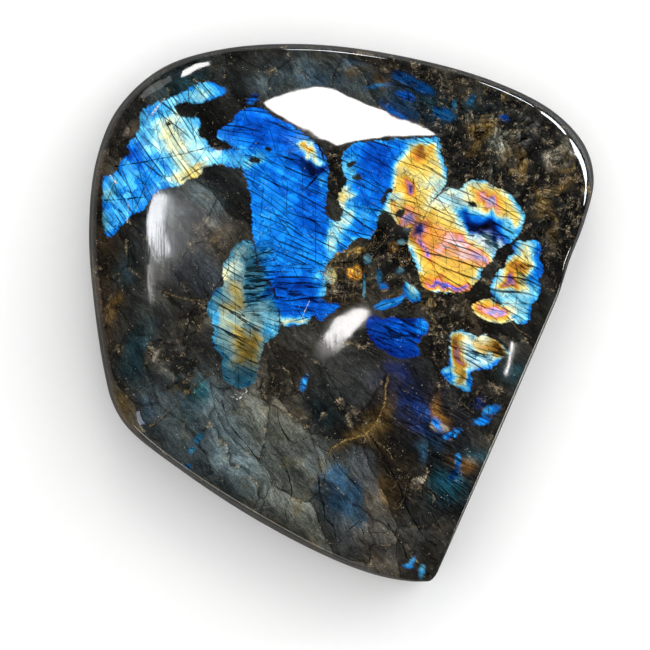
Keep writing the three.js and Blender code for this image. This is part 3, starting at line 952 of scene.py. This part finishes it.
def body_tone(points, front):
    """The soft colour of the dark stone at each point, and where a crisp crystal shows."""
    uneven = wavy(wavy(points, 24, 1.2, 3), 8, 0.7, 4)
    tone = np.tile(linear(*TONES["ground"]), (len(points), 1))
    cover = np.zeros(len(points))
    for *oval, name, strength in TONE_BLOBS:
        weight = strength * np.exp(-oval_radius(uneven, *oval) ** 2) * front
        tone += (np.array(linear(*TONES[name])) - tone) * weight[:, None]
    crispness = 8
    for *oval, name, strength in LEAVES:
        leaf = np.exp(-angular_radius(uneven, *oval) ** crispness) * front
        tone += (np.array(linear(*TONES[name])) - tone) * (leaf * strength)[:, None]
        cover = np.maximum(cover, leaf)
    return tone, cover


def store(mesh, name, values):
    """Keeps one number for each point of the mesh."""
    mesh.attributes.new(name, "FLOAT", "POINT").data.foreach_set("value", np.asarray(values, np.float32))


def store_colour(mesh, name, colours):
    """Keeps one colour for each point of the mesh."""
    rgba = np.hstack([colours, np.ones((len(colours), 1))]).astype(np.float32)
    mesh.attributes.new(name, "FLOAT_COLOR", "POINT").data.foreach_set("color", rgba.ravel())


def add_fields(mesh, points):
    """Works out the markings at every point of the mesh and keeps them on it."""
    place, height = points[:, :2], points[:, 2]
    front = smoothstep(height, *FRONT_FADES)
    for name, values in flash_fields(place, front).items():
        store(mesh, name, values)
    tone, leaf = body_tone(place, front)
    store_colour(mesh, "tone", tone)
    store(mesh, "leaf", leaf)
    store(mesh, "tangle", soft_ovals(place, TANGLES, 0.1) * front)
    store(mesh, "brushed", soft_ovals(place, BRUSHED, 0))
    for name, values in line_fields(place).items():
        store(mesh, name, values)
    store(mesh, "front", front)
    section = section_at(np.arctan2(place[:, 1], place[:, 0]))
    outwards = (np.hypot(*place.T) - section["edge"]) / section["rim"]
    wall = smoothstep(outwards, -0.7, 0.0)
    store(mesh, "wall", np.maximum(wall, 1 - smoothstep(height, *WALL_FADES)))


class Graph:
    """The node tree of one material, built by calls that read like sums."""

    def __init__(self, name):
        self.material = bpy.data.materials.new(name)
        self.material.use_nodes = True
        self.tree = self.material.node_tree
        self.tree.nodes.clear()

    def node(self, kind, inputs=(), **settings):
        """A node with its settings, and its inputs linked or set."""
        node = self.tree.nodes.new("ShaderNode" + kind)
        for name, value in settings.items():
            setattr(node, name, value)
        for key, value in dict(inputs).items():
            if isinstance(value, bpy.types.NodeSocket):
                self.tree.links.new(value, node.inputs[key])
            else:
                node.inputs[key].default_value = value
        return node

    def math(self, operation, a, b=0.0):
        """A sum of two numbers."""
        return self.node("Math", {0: a, 1: b}, operation=operation).outputs[0]

    def product(self, *values):
        """Several numbers multiplied."""
        result = values[0]
        for value in values[1:]:
            result = self.math("MULTIPLY", result, value)
        return result

    def plus(self, *values):
        """Several numbers added."""
        result = values[0]
        for value in values[1:]:
            result = self.math("ADD", result, value)
        return result

    def inverse(self, value):
        """1 less the value."""
        return self.math("SUBTRACT", 1.0, value)

    def swing(self, value, amount):
        """A noise, 0 to 1, turned into a change of up to about half the amount either way."""
        return self.product(self.math("SUBTRACT", value, 0.5), amount)

    def vector(self, operation, a, b=(0, 0, 0)):
        """A sum of two vectors."""
        return self.node("VectorMath", {0: a, 1: b}, operation=operation).outputs[0]

    def combine(self, x, y, z=0.0):
        """A vector of three numbers."""
        return self.node("CombineXYZ", {0: x, 1: y, 2: z}).outputs[0]

    def parts(self, vector):
        """The three numbers of a vector or colour."""
        return self.node("SeparateXYZ", {0: vector}).outputs

    def scaled(self, colour, amount):
        """A colour made lighter or darker."""
        return self.node("VectorMath", {0: colour, "Scale": amount}, operation="SCALE").outputs[0]

    def span(self, value, low, high, start=0.0, end=1.0):
        """value carried smoothly from low..high to start..end, and held there."""
        inputs = {"Value": value, "From Min": low, "From Max": high, "To Min": start, "To Max": end}
        return self.node("MapRange", inputs, interpolation_type="SMOOTHSTEP").outputs[0]

    def mix(self, share, a, b):
        """Two colours mixed."""
        return self.node("Mix", {0: share, 6: a, 7: b}, data_type="RGBA").outputs[2]

    def noise(self, vector, scale, detail=3.0, roughness=0.55, distortion=0.0):
        """A soft noise, 0 to 1."""
        inputs = {"Vector": vector, "Scale": scale, "Detail": detail, "Roughness": roughness,
                  "Distortion": distortion}
        return self.node("TexNoise", inputs).outputs[0]

    def mottle(self, vector, scale, detail, low, high, start=0.0, end=1.0, roughness=0.55):
        """A soft noise made steeper: from start to end where it passes from low to high."""
        return self.span(self.noise(vector, scale, detail, roughness), low, high, start, end)

    def cells(self, vector, scale=1.0, feature="F1"):
        """The distance, colour and position of a field of cells."""
        return self.node("TexVoronoi", {"Vector": vector, "Scale": scale}, feature=feature).outputs

    def seams(self, vector, scale=1.0):
        """The distance to the nearest border between two cells."""
        return self.cells(vector, scale, "DISTANCE_TO_EDGE")["Distance"]

    def cell_number(self, vector, scale=1.0):
        """A number from 0 to 1 for each cell."""
        return self.parts(self.cells(vector, scale)["Color"])[0]

    def dots(self, vector, scale, inner, outer):
        """1 on small dots strewn about, one to a cell, and 0 between them."""
        return self.span(self.cells(vector, scale)["Distance"], inner, outer, 1.0, 0.0)

    def length(self, vector):
        """How long a vector is."""
        return self.node("VectorMath", {0: vector}, operation="LENGTH").outputs["Value"]

    def random(self, number):
        """A number from 0 to 1 that depends on the whole number given."""
        return self.node("TexWhiteNoise", {"W": number}, noise_dimensions="1D").outputs["Value"]

    def stored(self, name, output="Fac"):
        """A value kept on the mesh."""
        return self.node("Attribute", attribute_name=name).outputs[output]

    def vein(self, value, width):
        """1 on the thin line where a noise passes its middle value."""
        away = self.math("ABSOLUTE", self.math("SUBTRACT", value, 0.5))
        return self.span(away, 0.0, width, 1.0, 0.0)

    def ramp(self, value, stops):
        """A colour scale: stops are place and colour."""
        node = self.node("ValToRGB", {0: value})
        elements = node.color_ramp.elements
        while len(elements) < len(stops):
            elements.new(0.5)
        for element, (place, colour) in zip(elements, stops):
            element.position = place
            element.color = (*linear(*colour), 1)
        return node.outputs[0]

    def push(self, vector, scale, reach, detail=2.0, roughness=0.5):
        """A noise in all three directions, of up to about reach either way."""
        inputs = {"Vector": vector, "Scale": scale, "Detail": detail, "Roughness": roughness}
        noise = self.node("TexNoise", inputs).outputs["Color"]
        return self.vector("MULTIPLY", self.vector("SUBTRACT", noise, (0.5, 0.5, 0.5)), (2 * reach,) * 3)

    def around(self, vector, scale, reach, detail=2.0):
        """vector pushed about by a noise, by up to about reach."""
        return self.vector("ADD", vector, self.push(vector, scale, reach, detail))

    def rotated(self, vector, angle):
        """vector turned about Z."""
        inputs = {"Vector": vector, "Angle": angle}
        return self.node("VectorRotate", inputs, rotation_type="Z_AXIS").outputs[0]

    def turned(self, vector, degrees, stretch=(1, 1, 1)):
        """vector turned about Z so that a direction comes to lie along X, then scaled on each axis."""
        return self.vector("MULTIPLY", self.rotated(vector, math.radians(-degrees)), stretch)

    def stripes(self, along, across, spacing, width, length, seed):
        """Long thin lines that come and go, and the tone of the bands between them, 0 to 1."""
        place = self.combine(self.product(along, 0.035), self.product(across, 0.1), seed)
        wander = self.swing(self.noise(place, 1.0, 1, 0.4), 7.0)
        band = self.plus(self.product(self.plus(across, wander), 1 / spacing), seed)
        line = self.math("ROUND", band)
        apart = 3.7  # far enough apart in the noise for neighbouring lines to differ
        stretch = self.combine(self.product(along, 1 / length), self.product(line, apart), seed)
        presence = self.mottle(stretch, 1.0, 2, 0.42, 0.6)
        thick = self.product(self.plus(self.random(line), 0.4), width / spacing)
        share = self.math("DIVIDE", self.math("PINGPONG", band, 0.5), thick)
        lines = self.product(self.span(share, 0.4, 1.0, 1.0, 0.0), presence)
        return lines, self.random(self.math("FLOOR", band))

    def finished(self, kind, inputs):
        """The material, with a shader of that kind as its surface."""
        self.node("OutputMaterial", {"Surface": self.node(kind, inputs).outputs[0]})
        return self.material


# Interference colours in their order, as the lamellae get thicker
PHASES = [
    (0.0, (2, 8, 30)),
    (0.1, (4, 24, 100)),
    (0.2, (2, 60, 186)),
    (0.28, (2, 102, 232)),
    (0.35, (22, 148, 254)),
    (0.41, (92, 206, 255)),
    (0.47, (170, 236, 248)),
    (0.52, (226, 246, 218)),
    (0.58, (255, 242, 160)),
    (0.64, (255, 214, 92)),
    (0.7, (255, 178, 58)),
    (0.76, (246, 136, 76)),
    (0.82, (240, 165, 180)),
    (0.88, (150, 112, 195)),
    (0.93, (62, 90, 215)),
    (1.0, (212, 226, 255)),
]


def flash_colour(graph, place):
    """The flash's own colour, crossed by its fine dark lines and broken by darker streaks."""
    along = graph.stored("along")
    across = graph.stored("across")
    worn = graph.stored("worn")
    families = [  # turn against the main lines, spacing, width, length, depth, seed
        (0, 1.1, 0.2, 14, 0.88, 0.0),
        (0, 0.45, 0.09, 7, 0.35, 11.0),
        (12, 2.2, 0.22, 14, 0.9, 23.0),
        (-24, 3, 0.15, 9, 0.75, 47.0),
        (-58, 3.2, 0.15, 6, 0.7, 37.0),
    ]
    line_light = 1.0
    bands = []
    for turn, spacing, width, length, depth, seed in families:
        x, y, _ = graph.parts(graph.turned(graph.combine(along, across), turn))
        line, band = graph.stripes(x, y, spacing, width, length, seed)
        line_light = graph.product(graph.inverse(graph.product(line, depth)), line_light)
        bands.append(band)

    grain = graph.combine(graph.product(along, 0.16), graph.product(across, 0.8))
    streak = graph.noise(grain, 1.0, 5, 0.65, 0.4)
    blotch = graph.noise(graph.around(place, 0.3, 1.5), 0.28, 4, 0.6)
    fine = graph.noise(place, 2.2, 4, 0.7)
    shaken = graph.around(place, 0.6, 1.2, 3)
    facet_scale = 0.42
    facet = graph.cell_number(shaken, facet_scale)
    phase = graph.plus(
        graph.stored("phase"), graph.swing(streak, 0.09), graph.swing(blotch, 0.1), graph.swing(facet, 0.035),
        graph.swing(bands[0], 0.025), graph.swing(bands[2], 0.025), graph.swing(fine, 0.03),
    )
    colour = graph.ramp(phase, PHASES)
    white = graph.product(graph.stored("bloom"), graph.span(streak, 0.35, 0.6))
    colour = graph.mix(white, colour, (1, 1, 1, 1))

    dark_limit = graph.plus(graph.product(worn, 0.32), 0.24)
    crackle = graph.span(graph.seams(shaken, facet_scale), 0.012, 0.045, 0.6, 0.0)
    crackle = graph.product(crackle, graph.mottle(place, 0.4, 2, 0.38, 0.55))
    light = graph.product(
        graph.stored("shade"),
        line_light,
        graph.span(bands[0], 0.0, 1.0, 0.78, 1.12),
        graph.span(bands[1], 0.0, 1.0, 0.94, 1.05),
        graph.span(facet, 0.0, 1.0, 0.86, 1.1),
        graph.span(blotch, 0.32, 0.58, 0.8, 1.08),
        graph.span(fine, 0.3, 0.65, 0.9, 1.08),
        graph.span(graph.math("SUBTRACT", streak, dark_limit), -0.02, 0.05, 0.14, 1.0),
        graph.inverse(crackle),
    )
    return graph.scaled(colour, light)


# The brown crystals' tones: dark and light ones alternate, so that neighbours stand apart
CRYSTAL_TONES = [
    (0.3, (10, 11, 11)),
    (0.52, (24, 24, 22)),
    (0.6, (12, 13, 13)),
    (0.76, (36, 34, 28)),
    (0.84, (17, 18, 18)),
    (0.94, (54, 47, 33)),
    (1.0, (96, 80, 50)),
]
# Tan mineral, from its dark grains to its light ones
TAN_TONES = [(0.32, (56, 47, 34)), (0.5, (122, 106, 80)), (0.66, (214, 198, 166))]
# What fills a crack: nothing, brown, tan, white
FILLING_TONES = [
    (0.0, (4, 4, 5)),
    (0.2, (26, 22, 16)),
    (0.45, (104, 90, 64)),
    (0.65, (150, 122, 72)),
    (0.85, (205, 200, 190)),
    (1.0, (250, 250, 248)),
]


def shards(graph, place, scale, seed):
    """Small angular crystals: each one's tone, the light across it, and fine fibres lying its own way."""
    shaken = graph.around(graph.turned(place, 35, (0.75, 1.05, 1)), 0.5, 0.4, 3)
    shaken = graph.vector("ADD", shaken, (seed, seed, 0))
    cells = graph.cells(shaken, scale)
    tone = graph.parts(cells["Color"])[0]
    turn = graph.product(tone, 40)  # several times round, so that neighbours lie all ways
    strand_place = graph.vector("MULTIPLY", graph.rotated(shaken, turn), (0.22, 2.2, 1))
    strands = graph.noise(strand_place, 1.0, 2, 0.5)
    # Painted shading: each crystal is drawn lighter towards one side of it and darker towards the other
    outwards = graph.rotated(graph.vector("SUBTRACT", shaken, cells["Position"]), turn)
    toward_lit_side = graph.product(graph.parts(outwards)[1], scale)
    light = graph.product(
        graph.span(strands, 0.35, 0.65, 0.45, 1.7),
        graph.span(toward_lit_side, -0.45, 0.45, 0.3, 1.9),
        graph.span(graph.seams(shaken, scale), 0.0, 0.04, 0.45, 1.0),
    )
    fibre = graph.product(graph.vein(strands, 0.05), graph.mottle(place, 0.5, 4, 0.5, 0.62))
    return tone, light, fibre


def crystal_colour(graph, place):
    """A tangle of small leafy crystals, black to golden brown, the light on them, and fine bright fibres."""
    tone, light, fibre = shards(graph, place, 0.22, 0)
    small_tone, small_light, small_fibre = shards(graph, place, 0.55, 7)
    number = graph.plus(tone, graph.swing(small_tone, 0.3), graph.swing(graph.noise(place, 0.12, 2), 0.4))
    colour = graph.ramp(number, CRYSTAL_TONES)
    light = graph.product(light, graph.span(small_light, 0.4, 1.8, 0.7, 1.4))
    return graph.scaled(colour, light), light, graph.math("MAXIMUM", fibre, small_fibre)


def body_colour(graph, place):
    """The dark stone between the flashes: clouded plates, cracks and fine tan crystals."""
    pushed = graph.around(place, 0.1, 3)
    shaken = graph.around(pushed, 0.5, 0.3, 3)
    lengthways = graph.turned(pushed, -52)
    cloud = graph.noise(graph.vector("MULTIPLY", lengthways, (0.07, 0.17, 0.12)), 1.0, 7, 0.6)
    middle = graph.noise(graph.turned(shaken, -48, (0.35, 1.0, 0.6)), 1.0, 5, 0.68)
    brush = graph.noise(graph.vector("MULTIPLY", lengthways, (0.3, 5, 1)), 1.0, 4, 0.65)
    plates = graph.turned(shaken, -55, (0.05, 0.11, 0.08))
    plate_cells = graph.cells(plates)
    plate = graph.parts(plate_cells["Color"])[0]
    # Painted shade: each plate is drawn lighter towards one side and darker towards the other, as if light
    # fell on it from that side
    toward_lit_side = graph.parts(graph.vector("SUBTRACT", plates, plate_cells["Position"]))[1]
    chips = graph.cell_number(graph.turned(shaken, -50, (0.2, 0.4, 0.3)))
    light = graph.product(
        graph.span(cloud, 0.32, 0.68, 0.45, 1.7),
        graph.span(middle, 0.28, 0.72, 0.55, 1.5),
        graph.span(brush, 0.3, 0.7, 0.6, 1.45),
        graph.mottle(place, 2.4, 4, 0.3, 0.7, 0.65, 1.4, roughness=0.7),
        graph.span(plate, 0.0, 1.0, 0.6, 1.4),
        graph.span(toward_lit_side, -0.5, 0.5, 0.75, 1.25),
        graph.span(chips, 0.0, 1.0, 0.85, 1.15),
    )
    along, across = graph.stored("along"), graph.stored("across")
    bar, _ = graph.stripes(along, across, 0.9, 0.4, 8, 3.0)
    thin_bar, _ = graph.stripes(along, across, 0.5, 0.2, 6, 5.0)
    bar = graph.product(graph.math("MAXIMUM", bar, thin_bar), graph.span(graph.stored("worn"), 0.1, 0.6))
    light = graph.product(light, graph.inverse(graph.product(bar, 0.8)))
    colour = graph.scaled(graph.stored("tone", "Color"), light)
    warm = graph.mottle(graph.around(place, 0.3, 2, 3), 0.22, 5, 0.5, 0.66, 0.0, 0.45, roughness=0.65)
    colour = graph.mix(warm, colour, graph.vector("MULTIPLY", colour, (1.5, 1.15, 0.7)))

    tan = graph.ramp(graph.noise(place, 1.8, 3, 0.7), TAN_TONES)
    tangle = graph.stored("tangle")
    crystals, crystal_light, fibre = crystal_colour(graph, place)
    leaf = graph.stored("leaf")
    # The crystals' light, with its painted shading of each crystal, is laid over the leaves too
    mean_light = 1.1
    facets = graph.math("SUBTRACT", crystal_light, mean_light)
    facets = graph.product(leaf, graph.span(tangle, 0.25, 0.7), facets)
    colour = graph.scaled(colour, graph.plus(facets, 1))
    patchy = graph.span(graph.plus(tangle, graph.swing(graph.noise(place, 0.22, 5, 0.65), 1.6)), 0.45, 0.7)
    bare = graph.inverse(graph.product(leaf, 0.75))
    colour = graph.mix(graph.product(patchy, 0.85, bare), colour, crystals)

    # Cracks: thin, mostly dark, here and there filled with tan
    filled = graph.mottle(place, 0.3, 4, 0.54, 0.62, roughness=0.65)
    edges = graph.seams(plates)
    crack = graph.seams(graph.turned(shaken, -40, (0.1, 0.18, 0.13)))
    shown = graph.mottle(place, 0.15, 3, 0.42, 0.55)
    crack_line = graph.plus(
        graph.span(edges, 0.003, 0.012, 0.3, 0.0),
        graph.span(edges, 0.0, 0.08, 0.4, 0.0),
        graph.product(graph.span(crack, 0.003, 0.012, 0.3, 0.0), shown),
    )
    crack_line = graph.span(crack_line, 0.0, 1.0, 0.0, 0.9)
    colour = graph.mix(crack_line, colour, graph.mix(filled, (0.002, 0.002, 0.002, 1), tan))

    # Curling threads, flecks and specks
    curl = graph.noise(graph.around(place, 0.5, 1.2, 3), 0.6, 3, 0.6, 1.2)
    broken = graph.mottle(place, 1.3, 3, 0.46, 0.6, roughness=0.65)
    thread = graph.product(graph.vein(curl, 0.02), broken, graph.span(tangle, 0.1, 0.8, 0.08, 0.4))
    thread = graph.plus(thread, graph.product(fibre, graph.span(tangle, 0.2, 0.8, 0.1, 0.7)))
    fleck_place = graph.turned(graph.around(place, 1.5, 0.5), -40, (1.1, 2.2, 1.2))
    clump = graph.mottle(place, 0.16, 5, 0.5, 0.7, roughness=0.7)
    fleck = graph.product(
        graph.dots(fleck_place, 1.0, 0.12, 0.24),
        graph.math("MAXIMUM", clump, graph.product(tangle, 0.15)),
        graph.mottle(place, 1.1, 2, 0.48, 0.58),
        graph.span(tangle, 0.2, 0.9, 1.0, 0.35),
    )
    return graph.mix(graph.span(graph.plus(thread, fleck), 0.0, 1.0), colour, tan)


def add_lines(graph, place, colour):
    """Draws the cracks and veins over a colour."""
    step = graph.combine(graph.stored("line_x"), graph.stored("line_y"))
    ragged = graph.vector("MULTIPLY", graph.push(place, 0.8, 0.4, 6, 0.65), (1, 1, 0))
    distance = graph.length(graph.vector("ADD", step, ragged))
    strays = 0.9  # about how far a mark may stray from its line
    distance = graph.math("MAXIMUM", distance, graph.math("SUBTRACT", graph.stored("line_near"), strays))
    thick = graph.product(graph.stored("line_width"), graph.mottle(place, 0.9, 4, 0.36, 0.62, 0.65, 1.3))
    fade = graph.mottle(place, 0.3, 3, 0.4, 0.58, 0.35, 1.0)
    share = graph.span(graph.math("DIVIDE", distance, thick), 0.35, 1.0, fade, 0.0)
    grain = graph.mottle(place, 2.2, 4, 0.42, 0.6, 0.12, 1.4, roughness=0.75)
    filling = graph.ramp(graph.stored("line_filled"), FILLING_TONES)
    return graph.mix(graph.product(share, graph.stored("front")), colour, graph.scaled(filling, grain))


def labradorite(name, specular):
    """The stone's material, with how strongly its finish reflects."""
    graph = Graph(name)
    object_place = graph.node("TexCoord").outputs["Object"]
    place = graph.vector("MULTIPLY", object_place, (1000, 1000, 1000))
    ragged = graph.noise(graph.around(place, 1.2, 0.6), 0.7, 5, 0.65)
    along, across = graph.stored("along"), graph.stored("across")
    comb = graph.combine(graph.product(along, 0.12), graph.product(across, 1.3))
    toothed = graph.noise(comb, 1.0, 3)
    uneven = graph.plus(graph.swing(ragged, 1.8), graph.swing(toothed, 1.6))
    uneven = graph.math("DIVIDE", uneven, graph.math("POWER", graph.stored("softness"), 1.2))
    depth = graph.plus(graph.stored("flash_depth"), uneven)
    share = graph.span(depth, -0.15, 0.25)
    colour = graph.mix(share, body_colour(graph, place), flash_colour(graph, place))
    colour = add_lines(graph, place, colour)
    dots = graph.product(graph.dots(place, 0.8, 0.05, 0.1), graph.mottle(place, 0.25, 3, 0.48, 0.6))
    speck_place = graph.vector("ADD", place, (3, 5, 0))
    specks = graph.product(graph.dots(speck_place, 1.5, 0.06, 0.11), graph.mottle(place, 0.4, 3, 0.52, 0.64))
    colour = graph.mix(graph.math("MAXIMUM", dots, specks), colour, (0.6, 0.55, 0.45, 1))

    brushed = graph.stored("brushed")
    hairs = graph.noise(graph.turned(place, 88, (0.12, 5, 1)), 1.0, 3, 0.6)
    scuffed = graph.product(brushed, graph.span(hairs, 0.4, 0.6))
    wall = graph.stored("wall")
    # Painted reflection: the walls' colour is darkened and turned reddish brown, standing in for the dark
    # reddish-brown reflection on the sides
    colour = graph.mix(wall, colour, graph.vector("MULTIPLY", colour, (0.5, 0.4, 0.3)))
    roughness = graph.plus(
        graph.mottle(place, 0.9, 4, 0.3, 0.8, 0.03, 0.06, roughness=0.6),
        graph.product(scuffed, 0.25),
        graph.product(wall, 0.5),
    )
    ripple = graph.noise(place, 0.1, 2)
    bump = graph.node("Bump", {"Height": ripple, "Strength": 0.08, "Distance": 0.0004})
    return graph.finished("BsdfPrincipled", {
        "Base Color": colour,
        "Roughness": roughness,
        "IOR": 1.57,
        "Specular IOR Level": specular,
        "Normal": bump.outputs[0],
    })


def add_object(name, data):
    """A new object in the scene."""
    added = bpy.data.objects.new(name, data)
    bpy.context.collection.objects.link(added)
    return added


def make_stone():
    """The stone, in place of its faceted solid."""
    points, faces = stone_mesh()
    mesh = bpy.data.meshes.new("stone_polished")
    mesh.from_pydata((points * MM).tolist(), [], faces)
    mesh.shade_smooth()
    add_fields(mesh, points)
    mesh.materials.append(labradorite("polished_labradorite", 0.15))
    mesh.materials.append(labradorite("honed_labradorite", 0.05))
    wall = np.empty(len(points), np.float32)
    mesh.attributes["wall"].data.foreach_get("value", wall)
    # The walls and the back take the honed finish
    halfway = 0.5
    for polygon in mesh.polygons:
        polygon.material_index = int(wall[list(polygon.vertices)].min() > halfway)
    stone = add_object("stone_polished", mesh)
    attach(stone, "root")
    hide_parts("stone")


def make_floor():
    """A plain pale floor."""
    graph = Graph("pale_floor")
    place = graph.node("TexCoord").outputs["Object"]
    colour = graph.ramp(graph.noise(place, 6, 2), [(0.3, (238, 238, 237)), (0.7, (243, 243, 242))])
    bpy.ops.mesh.primitive_plane_add(size=6)
    floor = bpy.context.object
    floor.name = "floor"
    floor.data.materials.append(graph.finished("BsdfPrincipled", {"Base Color": colour, "Roughness": 0.6}))


def make_camera():
    """Straight above the stone, as it is photographed."""
    data = bpy.data.cameras.new("camera")
    data.sensor_width = 36
    data.lens = data.sensor_width * (CAMERA_HEIGHT - WIDEST_HEIGHT) / FRAME_WIDTH
    data.clip_end = 20
    camera = add_object("camera", data)
    camera.location = Vector(CAMERA_PLACE) * MM
    bpy.context.scene.camera = camera


class Highlight(NamedTuple):
    """A highlight on the polish, as the picture shows it. It is the mirror image of one softbox."""

    outline: list
    light: float
    colour: tuple = (1.0, 0.98, 0.96)
    away: float = 900


HIGHLIGHTS = {
    "window": Highlight(
        [(-19.8, 52.5), (-15, 54.4), (-10.4, 56), (-6, 56.6), (-3, 56.3), (0.6, 54.7), (6.4, 51.9),
         (11.1, 50.2), (18.3, 47.1), (24, 44.4), (18.3, 44.1), (8.7, 43.5), (3.5, 42.8), (-1.2, 41.5),
         (-5.6, 43.5), (-10, 46.2)],
        80, (1.0, 0.975, 0.95)),
    "side": Highlight(
        [(-47.6, 29), (-46, 30), (-43.6, 29), (-41.6, 25), (-41, 20), (-42.5, 16), (-44.5, 13), (-46.5, 13),
         (-48.5, 17), (-49.2, 22)],
        70, (0.93, 0.96, 1.0)),
    "side_tail": Highlight([(-48.8, 12), (-47.8, 12), (-47.3, 6), (-47.5, 2), (-48.3, 2), (-48.9, 7)], 22),
    "overhead": Highlight(
        [(4.9, 1.3), (6.8, 0.2), (7, -0.9), (4.2, -3.4), (2.2, -5.6), (0.2, -7.6), (-2.8, -9.4), (-4.4, -9),
         (-4.2, -5.6), (-2.8, -3.6), (-0.4, -1.2), (2.2, 0)],
        68, away=930),
    "corner": Highlight(
        [(-40.6, 59.4), (-40.2, 61), (-37.2, 62.5), (-33.8, 63), (-33.6, 62), (-36.8, 61)],
        60),
    "corner_tail": Highlight(
        [(-51.4, 53.9), (-51.1, 54.9), (-45.4, 58.8), (-43.4, 60), (-42.9, 58.4), (-45.9, 56.3),
         (-49.9, 53.9)],
        4.5),
    "side_halo": Highlight([(-44, 30), (-40, 31), (-37, 28), (-36, 23), (-38, 18), (-42, 14), (-45, 14)], 3),
    "lower_left": Highlight(
        [(-52.5, -20.5), (-52.1, -20.5), (-51, -24.6), (-49.4, -28), (-50.8, -28.4), (-51.8, -25)],
        16, (0.7, 0.8, 1)),
    "slit": Highlight([(43.5, -7.6), (43.1, -7.6), (41.1, -15.8), (41.4, -15.8)], 170),
    "chip": Highlight([(-34, 39.3), (-32, 40.3), (-30.2, 40.7), (-30.6, 39.8), (-33.4, 38.6)], 44),
}


def mirrored_ray(place):
    """The stone's point at a place of the picture, and where the camera looks from there by reflection."""
    x, y = to_face(place)
    step = 0.25
    point, right, ahead = face_point(np.array([x, x + step, x]), np.array([y, y, y + step]))
    normal = Vector(np.cross(right - point, ahead - point)).normalized()
    view = (Vector(CAMERA_PLACE) - Vector(point)).normalized()
    return Vector(point), 2 * normal.dot(view) * normal - view


def make_softbox(name, highlight):
    """A flat lamp whose mirror image in the polish has the highlight's outline."""
    rays = [mirrored_ray(place) for place in highlight.outline]
    origin = sum((ray[0] for ray in rays), Vector()) / len(rays)
    direction = sum((ray[1] for ray in rays), Vector()).normalized()
    centre = origin + direction * highlight.away
    corners = []
    for point, ray in rays:
        reach = (centre - point).dot(direction) / ray.dot(direction)
        corners.append((point + ray * reach) * MM)
    mesh = bpy.data.meshes.new(name)
    mesh.from_pydata(corners, [], [tuple(range(len(corners)))])
    glow = {"Color": (*highlight.colour, 1), "Strength": highlight.light}
    mesh.materials.append(Graph(name).finished("Emission", glow))
    softbox = add_object(name, mesh)
    softbox.visible_camera = False
    softbox.visible_diffuse = False


def make_lamp(name, azimuth, elevation, size, power, colour=(1, 1, 1)):
    """A soft lamp that faces the stone."""
    away = 1.7
    turn, rise = math.radians(azimuth), math.radians(elevation)
    level = math.cos(rise)
    place = Vector((math.cos(turn) * level, math.sin(turn) * level, math.sin(rise))) * away
    data = bpy.data.lights.new(name, "AREA")
    data.shape = "ELLIPSE"
    data.size, data.size_y = size
    data.energy = power
    data.color = colour
    lamp = add_object(name, data)
    lamp.location = place
    lamp.rotation_euler = (-place).to_track_quat("-Z", "Y").to_euler()
    return lamp


def light_scene():
    """Plain soft studio light, with the softboxes that the polish mirrors."""
    for name, highlight in HIGHLIGHTS.items():
        make_softbox(name, highlight)
    make_lamp("fill_above", 60, 84, (4, 4), 60).visible_glossy = False
    make_lamp("fill_right", 30, 42, (1.2, 1.2), 4.5).visible_glossy = False
    strips = [
        ("strip_top", 88, 13, (0.4, 0.13)),
        ("strip_upper_right", 64, 15, (0.3, 0.16)),
        ("strip_shoulder", 51, 19, (0.26, 0.36)),
        ("strip_right", 28, 21, (0.9, 0.56)),
    ]
    strip_light = 70
    for name, azimuth, elevation, (width, height) in strips:
        power = strip_light * math.pi * width * height
        make_lamp(name, azimuth, elevation, (width, height), power, (0.88, 0.94, 1)).visible_diffuse = False
    make_lamp("strip_cut", -23, 30, (1.2, 0.3), 90, (1, 0.97, 0.92)).visible_diffuse = False
    make_lamp("strip_arris", -122, 22, (1.2, 0.5), 24, (1, 0.92, 0.82)).visible_diffuse = False
    world = bpy.data.worlds.new("studio")
    world.use_nodes = True
    background = world.node_tree.nodes["Background"]
    background.inputs["Color"].default_value = (0.92, 0.96, 1.0, 1)
    background.inputs["Strength"].default_value = 0.14
    bpy.context.scene.world = world
    bpy.context.scene.view_settings.view_transform = "Standard"


make_camera()
make_stone()
make_floor()
light_scene()
